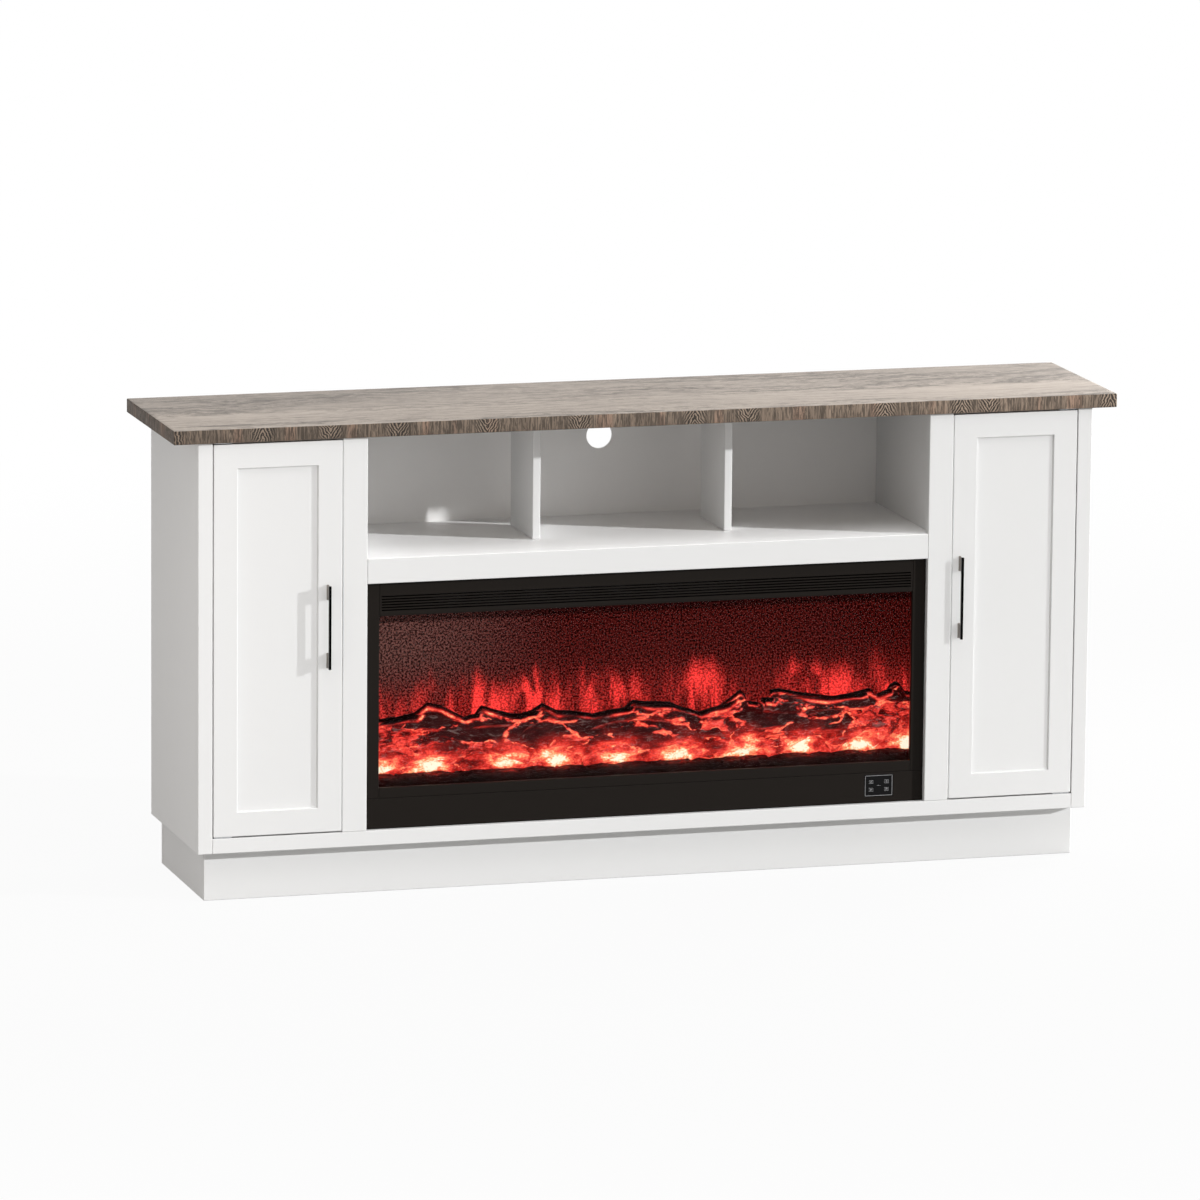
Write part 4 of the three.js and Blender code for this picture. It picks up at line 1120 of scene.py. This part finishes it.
def set_floor(scene):
    """A wide round floor whose far part goes over into the white background."""
    studio = scene.stand_studio
    shape = bmesh.new()
    bmesh.ops.create_circle(shape, cap_ends=True, segments=96, radius=60.0)
    mesh = bpy.data.meshes.new("studio_floor")
    shape.to_mesh(mesh)
    shape.free()
    floor = bpy.data.objects.new("studio_floor", mesh)
    scene.collection.objects.link(floor)
    made, graph, shader = material("pale_floor")
    place = graph.position()
    mottle = graph.cloud(place, 3.0, 2.0, 0.5)
    dim = tuple(0.985 * c for c in studio.floor)
    graph.feed(shader.inputs["Base Color"], graph.blend(mottle, dim, tuple(studio.floor)))
    shader.inputs["Roughness"].default_value = 0.85
    shader.inputs["Specular IOR Level"].default_value = 0.1
    white = graph.node("ShaderNodeEmission", {"Color": (1.0, 1.0, 1.0, 1.0), "Strength": 1.0})
    far = graph.node("ShaderNodeVectorMath", operation="LENGTH")
    graph.feed(far.inputs[0], place)
    reach = graph.spread(far.outputs["Value"], 1.6, 5.0)
    share = graph.plus(studio.floor_lift, graph.times(reach, 1.0 - studio.floor_lift))
    path = graph.node("ShaderNodeLightPath").outputs
    seen = graph.plus(path["Is Camera Ray"], path["Is Glossy Ray"], clamp=True)
    both = graph.node("ShaderNodeMixShader", {"Fac": graph.times(share, seen)})
    graph.feed(both.inputs[1], shader.outputs["BSDF"])
    graph.feed(both.inputs[2], white.outputs["Emission"])
    output = next(n for n in made.node_tree.nodes if n.type == "OUTPUT_MATERIAL")
    graph.feed(output.inputs["Surface"], both.outputs["Shader"])
    mesh.materials.append(made)


# Boards, steel and glass that keep their frame shape


class STAND_OT_finishes(bpy.types.Operator):
    """Give every board, plate, hinge and machine part of the frame its finish"""

    bl_idname = "stand.finishes"
    bl_label = "Frame finishes"

    def execute(self, context):
        for name, node in NODES.items():
            finish = FINISH_OF_NODE.get(name, FINISH_OF_SLOT[SLOT_OF_NODE[name]])()
            if not node.material_slots:
                node.data.materials.append(finish)
            for slot in node.material_slots:
                slot.material = finish
        return {"FINISHED"}


# Top slab


class STAND_OT_slab(bpy.types.Operator):
    """Build the oak slab with eased and slightly worn edges"""

    bl_idname = "stand.slab"
    bl_label = "Top slab"

    def execute(self, context):
        sizes = context.scene.stand_sizes
        low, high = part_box("top_slab")
        stations = end_stations(low.x, high.x, sizes.slab_round, 260)
        loops = [slab_loop(x, inset, low, high, sizes) for x, inset in stations]
        count = len(loops[0])
        vertices = [spot for loop in loops for spot in loop]
        faces = []
        for i in range(len(loops) - 1):
            for j in range(count):
                k = (j + 1) % count
                faces.append((i * count + j, i * count + k, (i + 1) * count + k, (i + 1) * count + j))
        faces.append(tuple(reversed(range(count))))
        faces.append(tuple((len(loops) - 1) * count + j for j in range(count)))
        slab = piece("oak_slab", vertices, faces, "stand", "oak_top",
                     oak_face(), oak_front_edge(), oak_end())
        for polygon in slab.data.polygons:
            normal = polygon.normal
            polygon.material_index = 0
            if abs(normal.y) > 0.72:
                polygon.material_index = 1
            if abs(normal.x) > 0.72:
                polygon.material_index = 2
        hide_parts("top_slab")
        return {"FINISHED"}


def end_stations(low, high, radius, count):
    """Places along the slab, closer at the rounded ends, each with how far its loop is drawn in."""
    stations = [(low + radius * (1.0 - math.cos(a)), radius * (1.0 - math.sin(a)))
                for a in (0.5 * math.pi * s / 4 for s in range(5))]
    inner = [low + radius + (high - low - 2 * radius) * i / count for i in range(1, count)]
    mirrored = [(high - (x - low), inset) for x, inset in reversed(stations)]
    return stations + [(x, 0.0) for x in inner] + mirrored


def slab_loop(x, inset, low, high, sizes):
    """One loop round the slab at x, with its corners rounded and rubbed."""
    y0, y1 = low.y + inset, high.y - inset
    z0, z1 = low.z + inset, high.z - inset
    corners = [(y1, z1, 0.0), (y0, z1, 0.5), (y0, z0, 1.0), (y1, z0, 1.5)]
    loop = []
    for number, (y, z, start) in enumerate(corners):
        long_rub = noise.noise(Vector((x * 9.0, number * 7.3, 0.4)))
        short_rub = noise.noise(Vector((x * 60.0, number, 2.0)))
        radius = sizes.slab_round + max(0.0, long_rub + 0.5 * short_rub) * sizes.slab_wear
        centre_y = y - radius if y > 0 else y + radius
        centre_z = z - radius if z == z1 else z + radius
        for step in range(5):
            angle = math.pi * (start + 0.125 * step)
            loop.append(Vector((x, centre_y + radius * math.cos(angle),
                                centre_z + radius * math.sin(angle))))
    return loop


# Handles


class STAND_OT_handles(bpy.types.Operator):
    """Build the polished bar handles and their brushed feet on both doors"""

    bl_idname = "stand.handles"
    bl_label = "Door handles"

    def execute(self, context):
        rounding = context.scene.stand_sizes.handle_round
        for side in SIDES:
            build_bar(side, rounding)
            build_posts(side, rounding)
        return {"FINISHED"}


def build_bar(side, rounding):
    """A flat bar whose faces are drawn in a hair between its crisp rounded edges."""
    low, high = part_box(f"{side}_handle_bar")
    shape = bmesh.new()
    eased_block(shape, low, high, rounding * 0.7, 4)
    bar = from_bmesh(f"{side}_handle_rod", shape, f"{side}_door", "brushed_nickel", handle_metal())
    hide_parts(f"{side}_handle_bar")


def build_posts(side, rounding):
    """The two feet: flat blades that thicken a little where they meet the door."""
    shape = bmesh.new()
    nodes = [f"{side}_handle_{end}_post" for end in ("upper", "lower")]
    for node in nodes:
        low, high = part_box(node)
        waist = Vector((0.0006, 0.0, 0.0012))
        foot = 0.0024
        eased_block(shape, low + waist, high - waist, rounding)
        eased_block(shape, (low.x, high.y - foot, low.z), high, rounding * 0.8)
    posts = from_bmesh(f"{side}_handle_feet", shape, f"{side}_door", "brushed_nickel", brushed_nickel())
    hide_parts(*nodes)


# Fire


class STAND_OT_fire(bpy.types.Operator):
    """Build the bark of the resin logs and the bed of coals, with their painted glow"""

    bl_idname = "stand.fire"
    bl_label = "Logs and coals"

    def execute(self, context):
        sizes = context.scene.stand_sizes
        build_logs(sizes)
        build_coals(sizes)
        return {"FINISHED"}


def remeshed_copy(node, name, voxel):
    """A new mesh in the shape of a frame node, rebuilt in small even faces."""
    source = NODES[node]
    copy = bpy.data.objects.new(name, source.data.copy())
    bpy.context.scene.collection.objects.link(copy)
    rebuild = copy.modifiers.new("rebuild", "REMESH")
    rebuild.mode = "VOXEL"
    rebuild.voxel_size = voxel
    graph = bpy.context.evaluated_depsgraph_get()
    mesh = bpy.data.meshes.new_from_object(copy.evaluated_get(graph))
    plain = copy.data
    bpy.data.objects.remove(copy)
    bpy.data.meshes.remove(plain)
    mesh.name = name
    mesh.materials.clear()
    return mesh


def read_vertices(mesh, kind):
    """The place ("co") or the normal of every vertex, one row each."""
    flat = np.zeros(len(mesh.vertices) * 3, np.float32)
    mesh.vertices.foreach_get(kind, flat)
    return flat.reshape(-1, 3).astype(float)


def set_coordinates(mesh, places):
    mesh.vertices.foreach_set("co", places.astype(np.float32).ravel())
    mesh.update()


def store(mesh, name, values):
    """Keeps one number for each vertex under a name that a material reads."""
    layer = mesh.attributes.new(name, "FLOAT", "POINT")
    layer.data.foreach_set("value", np.asarray(values, np.float32))


def rough_field(places, scale, move=0.0):
    """Smooth noise between -1 and 1 at each place."""
    scale = np.array(scale)
    return np.array([noise.noise(Vector(p * scale + move)) for p in places])


def lamp_spot_glow(places, wide, tall):
    """How near each place is to a bright spot over a lamp, from 0 to 1, for the painted glow."""
    heat = np.zeros(len(places))
    for index, x in enumerate(HOT_SPOTS_X):
        power = 0.95 + 0.05 * math.sin(2.3 * index + 0.4)
        across = (places[:, 0] - x) / wide
        up = (places[:, 2] - HOT_SPOT_Z) / tall
        heat = np.maximum(heat, power * np.exp(-across**2 - np.where(up > 0, up, 1.6 * up) ** 2))
    return heat


def crest_heights(places):
    """The height of the highest point near each place along X."""
    step = 0.003
    low = places[:, 0].min()
    column = ((places[:, 0] - low) / step).astype(int)
    top = np.full(column.max() + 1, places[:, 2].min())
    np.maximum.at(top, column, places[:, 2])
    smooth = np.convolve(np.pad(top, 1, mode="edge"), (0.25, 0.5, 0.25), mode="valid")
    return smooth[column]


def build_logs(sizes):
    """The moulded logs: bark cut into their frame shape, and the painted glow that their finish reads."""
    mesh = remeshed_copy("log_set", "charred_logs", LOG_VOXEL)
    places, facing = read_vertices(mesh, "co"), read_vertices(mesh, "normal")
    lumps = rough_field(places, (26.0, 34.0, 34.0), 3.1)
    bark = rough_field(places, (52.0, 150.0, 170.0), 7.7)
    grit = rough_field(places, (260.0, 300.0, 300.0), 1.3)
    depth = sizes.bark_depth
    inward = depth * (0.55 * np.abs(bark) + 0.25 * np.abs(grit) + 0.35 * (lumps + 1.0))
    inward *= np.clip((crest_heights(places) - places[:, 2]) / 0.012, 0.12, 1.0)
    moved = places - facing * inward[:, None]
    low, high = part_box("log_set")
    moved = np.clip(moved, np.array(low), np.array(high))
    set_coordinates(mesh, moved)

    # Painted light: the glow stored here stands for the lamps' light in the resin: spots over the lamps,
    # a rim under the crest, the lower logs and the undersides.
    under = crest_heights(moved) - moved[:, 2]
    broken = rough_field(moved, (38.0, 20.0, 30.0), 5.5)
    swell = np.clip(rough_field(moved, (15.0, 8.0, 12.0), 9.1) + 0.15, 0.0, 1.0)
    thick = 0.0021 + 0.007 * swell
    line = np.exp(-(((under - 0.0066 - thick) / thick) ** 2))
    rim = line * np.clip(0.5 + 0.6 * broken + 0.4 * swell, 0.0, 0.8)
    crest = np.clip((under - 0.0055) / 0.0022, 0.0, 1.0)
    streaks = rough_field(moved, (34.0, 50.0, 70.0), 4.4)
    spots = np.maximum(1.25 * lamp_spot_glow(moved, 0.033, 0.026) * (1.0 + 0.2 * streaks),
                       0.92 * lamp_spot_glow(moved, 0.07, 0.05) * (1.0 + 0.6 * streaks))
    low_glow = 0.46 * np.clip((0.283 - moved[:, 2]) / 0.045, 0.0, 1.0) * (0.75 + 1.0 * lumps)
    under_side = 0.5 * np.clip(-facing[:, 2] * 0.9 + 0.3 * lumps, 0.0, 1.0)
    store(mesh, "painted_ember_glow", np.maximum.reduce([spots, low_glow, under_side]))
    store(mesh, "rim", rim)
    store(mesh, "crest", crest)
    logs = dressed("charred_logs", mesh, "stand", "log_resin", glowing_logs())
    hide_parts("log_set")


def build_coals(sizes):
    """A lumpy bed with loose coals half sunk in it."""
    mesh = remeshed_copy("ember_bed", "coal_bed", COAL_VOXEL)
    low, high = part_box("ember_bed")
    shape = bmesh.new()
    shape.from_mesh(mesh)
    bpy.data.meshes.remove(mesh)
    random = np.random.default_rng(11)
    for _ in range(sizes.coal_count):
        radius = 0.5 * sizes.coal_size * random.uniform(0.7, 1.3)
        x = random.uniform(low.x + radius, high.x - radius)
        y = low.y + radius + (high.y - low.y - 2 * radius) * random.beta(0.9, 1.8)
        z = high.z - radius * random.uniform(0.6, 1.5) - 0.002
        add_coal(shape, Vector((x, y, z)), radius, random)
    bmesh.ops.recalc_face_normals(shape, faces=shape.faces)
    made = bpy.data.meshes.new("coal_bed")
    shape.to_mesh(made)
    shape.free()
    places = read_vertices(made, "co")
    places = np.clip(places, np.array(low), np.array((high.x, high.y, high.z + 0.004)))
    set_coordinates(made, places)
    # Painted light: the coals glow near the lamps, more in the gaps between them and towards the back.
    gaps = np.clip(rough_field(places, (95.0, 95.0, 95.0), 2.2) + 0.35, 0.0, 1.0)
    near = np.maximum(lamp_spot_glow(places, 0.026, 0.02), 0.6 * lamp_spot_glow(places, 0.05, 0.03))
    back = np.clip((places[:, 1] - low.y - 0.004) / 0.01, 0.0, 1.0)
    store(made, "painted_ember_glow", near * (0.35 + 0.65 * gaps) * (0.35 + 0.65 * back))
    coals = dressed("coal_bed", made, "stand", "ember_resin", glowing_coals(), smooth=False)
    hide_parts("ember_bed")


def add_coal(shape, place, radius, random):
    """One angular coal."""
    made = bmesh.ops.create_icosphere(shape, subdivisions=2, radius=radius)["verts"]
    turn = Matrix.Rotation(random.uniform(0, math.tau), 3, Vector(random.normal(size=3)).normalized())
    squash = Vector((1.0, random.uniform(0.7, 1.0), random.uniform(0.6, 0.85)))
    seed = random.uniform(0, 50)
    for vertex in made:
        spot = vertex.co.copy()
        chip = 1.0 + 0.35 * noise.noise(spot * (1.1 / radius) + Vector((seed, 0, 0)))
        spot = Vector(c * s for c, s in zip(spot * chip, squash))
        vertex.co = place + turn @ spot


# Control marks


class STAND_OT_controls(bpy.types.Operator):
    """Build the thin border of the control panel and the plain marks on its keys"""

    bl_idname = "stand.controls"
    bl_label = "Control marks"

    def execute(self, context):
        build_panel_border()
        for key in KEYS:
            build_key_mark(key)
        return {"FINISHED"}


def stroke(shape, points, width, face, closed=False):
    """Adds a flat printed line of even width through points (x, z), on the plane y = face."""
    front, back = face - PRINT_RISE, face - PRINT_RISE + PRINT_DEPTH
    points = [Vector(p) for p in points]
    count = len(points)
    pairs = []
    for i, point in enumerate(points):
        before = points[i - 1] if closed or i > 0 else point
        after = points[(i + 1) % count] if closed or i < count - 1 else point
        way = (after - before).normalized()
        side = Vector((-way.y, way.x)) * (width / 2.0)
        pairs.append((point + side, point - side))
    rings = []
    for left, right in pairs:
        rings.append([shape.verts.new(spot) for spot in (
            (left.x, front, left.y), (right.x, front, right.y),
            (right.x, back, right.y), (left.x, back, left.y))])
    spans = count if closed else count - 1
    for i in range(spans):
        a, b = rings[i], rings[(i + 1) % count]
        for j in range(4):
            k = (j + 1) % 4
            shape.faces.new((a[j], b[j], b[k], a[k]))
    if not closed:
        shape.faces.new(tuple(reversed(rings[0])))
        shape.faces.new(tuple(rings[-1]))


def arc(centre, radius, start, end, steps=12):
    """Points on a circle from start to end degrees."""
    return [(centre[0] + radius * math.cos(math.radians(start + (end - start) * i / steps)),
             centre[1] + radius * math.sin(math.radians(start + (end - start) * i / steps)))
            for i in range(steps + 1)]


def build_panel_border():
    """A thin line round the panel and three small rings in a row in its middle."""
    low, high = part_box("control_panel")
    margin, round_corner = 2.2 * MM, 1.5 * MM
    ring_radius, ring_pitch = 0.45 * MM, 2.8 * MM
    shape = bmesh.new()
    x0, x1, z0, z1 = low.x + margin, high.x - margin, low.z + margin, high.z - margin
    border = []
    for centre_x, centre_z, start in ((x1, z1, 0), (x0, z1, 90), (x0, z0, 180), (x1, z0, 270)):
        inner = (centre_x - math.copysign(round_corner, centre_x - (x0 + x1) / 2),
                 centre_z - math.copysign(round_corner, centre_z - (z0 + z1) / 2))
        border += arc(inner, round_corner, start, start + 90, 5)
    stroke(shape, border, BORDER_LINE, low.y, closed=True)
    middle = ((low.x + high.x) / 2, (low.z + high.z) / 2)
    for step in (-1.0, 0.0, 1.0):
        ring = arc((middle[0] + step * ring_pitch, middle[1]), ring_radius, 0, 324, 9)
        stroke(shape, ring, FRAME_LINE, low.y, closed=True)
    from_bmesh("panel_border", shape, "stand", "control_gloss", icon_print(), smooth=False)


def build_key_mark(key):
    """A square outline with a plain sign for what the key does."""
    low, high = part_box(f"{key}_key")
    cx, cz = (low.x + high.x) / 2, (low.z + high.z) / 2
    margin = 0.8 * MM
    half_x, half_z = (high.x - low.x) / 2 - margin, (high.z - low.z) / 2 - margin
    shape = bmesh.new()
    frame_line = [(cx + half_x, cz + half_z), (cx - half_x, cz + half_z),
                  (cx - half_x, cz - half_z), (cx + half_x, cz - half_z)]
    stroke(shape, frame_line, FRAME_LINE, low.y, closed=True)
    for points in key_sign(key):
        stroke(shape, [(cx + x * MM, cz + z * MM) for x, z in points], SIGN_LINE, low.y)
    from_bmesh(f"{key}_mark", shape, f"{key}_key", "control_gloss", icon_print(), smooth=False)


def key_sign(key):
    """The lines of each sign, in millimetres from the middle of the key."""
    if key == "power":
        return [arc((0, 0), 1.7, 120, 420), [(0, 0.3), (0, 2.2)]]
    if key == "flame":
        return [[(0.1, 2.3), (1.3, 0.7), (1.5, -0.7), (0.8, -1.8), (-0.7, -1.8), (-1.5, -0.7),
                 (-1.2, 0.5), (-0.5, -0.1), (0.1, 2.3)]]
    if key == "heat":
        wave = [(0.45 * math.sin(t * 1.6), 2.0 - t) for t in np.linspace(0.0, 4.0, 11)]
        return [[(x + move, z) for x, z in wave] for move in (-1.5, 0.0, 1.5)]
    return [arc((0, 0), 1.8, 0, 350), [(0, 1.1), (0, 0), (0.9, -0.4)]]


# Small hardware


class STAND_OT_hardware(bpy.types.Operator):
    """Build the shelf pins, pivot screws, back panel nails, case screws and inlet blades"""

    bl_idname = "stand.hardware"
    bl_label = "Small hardware"

    def execute(self, context):
        build_shelf_pins()
        build_pivot_screws()
        build_back_nails()
        build_case_screws()
        build_inlet_blades()
        return {"FINISHED"}


def build_shelf_pins():
    """Four pins under each cabinet shelf, with a flat tongue that carries the shelf."""
    radius, from_edge, half_tongue = 2.5 * MM, 40.0 * MM, 4.5 * MM
    shape = bmesh.new()
    for side in SIDES:
        low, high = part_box(f"{side}_cabinet_shelf")
        for y in (low.y + from_edge, high.y - from_edge):
            for x, inwards in ((low.x, 1.0), (high.x, -1.0)):
                place = Vector((x + inwards * 0.2 * MM, y, low.z - 3.6 * MM))
                length = inwards * 9.0 * MM
                profile = [(0.96 * radius, 0.0), (radius, length * 0.1), (radius, length * 0.9),
                           (0.84 * radius, length)]
                turned(shape, profile, place, "X", 16)
                tongue = sorted((place.x + inwards * radius, place.x + inwards * 10.5 * MM))
                eased_block(shape, (tongue[0], y - half_tongue, low.z - 1.3 * MM),
                            (tongue[1], y + half_tongue, low.z - 0.2 * MM), 0.4 * MM, 2)
    from_bmesh("shelf_pins", shape, "stand", "zinc_steel", zinc_plate())


def build_pivot_screws():
    """Two screws in the plate of each pivot."""
    plate, from_end = 1.6 * MM, 5.5 * MM
    shape = bmesh.new()
    for side in SIDES:
        for end in ("upper", "lower"):
            low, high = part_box(f"{side}_{end}_pivot")
            way = -1.0 if end == "upper" else 1.0
            base = high.z - plate if end == "upper" else low.z + plate
            for x in (low.x + from_end, high.x - from_end):
                screw_head(shape, (x, (low.y + high.y) / 2, base), "Z", 2.6 * MM, way * 0.9 * MM,
                           1.2 * MM)
    from_bmesh("pivot_screws", shape, "stand", "zinc_steel", zinc_plate())


def build_back_nails():
    """Small nail heads round the edges of the back panels."""
    inset, usual_gap = 9.0 * MM, 0.1
    profile = [(2.1 * MM, -0.3 * MM), (2.2 * MM, 0.0), (1.6 * MM, 0.4 * MM), (0.6 * MM, 0.5 * MM)]
    shape = bmesh.new()
    for node in ("left_back_panel", "right_back_panel", "upper_back_panel"):
        low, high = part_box(node)
        x0, x1, z0, z1 = low.x + inset, high.x - inset, low.z + inset, high.z - inset
        across = max(3, round((x1 - x0) / usual_gap))
        upward = max(3, round((z1 - z0) / usual_gap))
        spots = [(x0 + (x1 - x0) * i / across, z) for i in range(across + 1) for z in (z0, z1)]
        spots += [(x, z0 + (z1 - z0) * i / upward) for i in range(1, upward) for x in (x0, x1)]
        for x, z in spots:
            turned(shape, profile, (x, high.y, z), "Y", 12)
    from_bmesh("back_nails", shape, "stand", "zinc_steel", zinc_plate())


def build_case_screws():
    """Screws along the edges of the back of the fire case."""
    from_side, from_end, across = 20.0 * MM, 12.0 * MM, 6
    shape = bmesh.new()
    low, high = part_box("fire_case")
    x0, x1 = low.x + from_side, high.x - from_side
    spots = [(x0 + (x1 - x0) * i / across, z) for i in range(across + 1)
             for z in (low.z + from_end, high.z - from_end)]
    spots += [(x, low.z + rise) for rise in (0.14, 0.27, 0.4) for x in (x0, x1)]
    for x, z in spots:
        screw_head(shape, (x, high.y, z), "Y", 3.5 * MM, 1.6 * MM, 1.6 * MM)
    from_bmesh("case_screws", shape, "stand", "zinc_steel", zinc_plate())


def build_inlet_blades():
    """The contact blades inside the power inlet."""
    half_thick, half_tall = 1.0 * MM, 2.0 * MM
    shape = bmesh.new()
    low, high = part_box("power_inlet")
    cx, cz = (low.x + high.x) / 2, (low.z + high.z) / 2
    for x, z in ((cx - 7.0 * MM, cz - 2.0 * MM), (cx + 7.0 * MM, cz - 2.0 * MM), (cx, cz + 3.5 * MM)):
        eased_block(shape, (x - half_thick, low.y + 3.0 * MM, z - half_tall),
                    (x + half_thick, high.y - 5.0 * MM, z + half_tall), 0.4 * MM, 2)
    from_bmesh("inlet_blades", shape, "stand", "zinc_steel", zinc_plate())


# Panel and registration


class STAND_PT_tools(bpy.types.Panel):
    """Lists the steps that build the stand"""

    bl_idname = "STAND_PT_tools"
    bl_label = "TV Stand"
    bl_space_type = "VIEW_3D"
    bl_region_type = "UI"
    bl_category = "TV Stand"

    def draw(self, context):
        layout = self.layout
        for step in STEPS:
            layout.operator(step.bl_idname)
        for group in ("stand_sizes", "stand_colours", "stand_fire", "stand_studio"):
            held = getattr(context.scene, group)
            box = layout.box()
            for name in held.bl_rna.properties.keys():
                if name not in ("rna_type", "name"):
                    box.prop(held, name)


GROUPS = {
    "stand_sizes": StandSizes,
    "stand_colours": StandColours,
    "stand_fire": StandFire,
    "stand_studio": StudioLook,
}
STEPS = (
    STAND_OT_finishes,
    STAND_OT_slab,
    STAND_OT_handles,
    STAND_OT_fire,
    STAND_OT_controls,
    STAND_OT_hardware,
    STAND_OT_stage,
)


def register():
    for made in (*GROUPS.values(), *STEPS, STAND_PT_tools):
        bpy.utils.register_class(made)
    for name, group in GROUPS.items():
        setattr(bpy.types.Scene, name, PointerProperty(type=group))


def unregister():
    for name in GROUPS:
        delattr(bpy.types.Scene, name)
    for made in reversed((*GROUPS.values(), *STEPS, STAND_PT_tools)):
        bpy.utils.unregister_class(made)


def main():
    register()
    bpy.ops.stand.finishes()
    bpy.ops.stand.slab()
    bpy.ops.stand.handles()
    bpy.ops.stand.fire()
    bpy.ops.stand.controls()
    bpy.ops.stand.hardware()
    bpy.ops.stand.stage()
    bpy.context.view_layer.update()


if __name__ == "__main__":
    main()
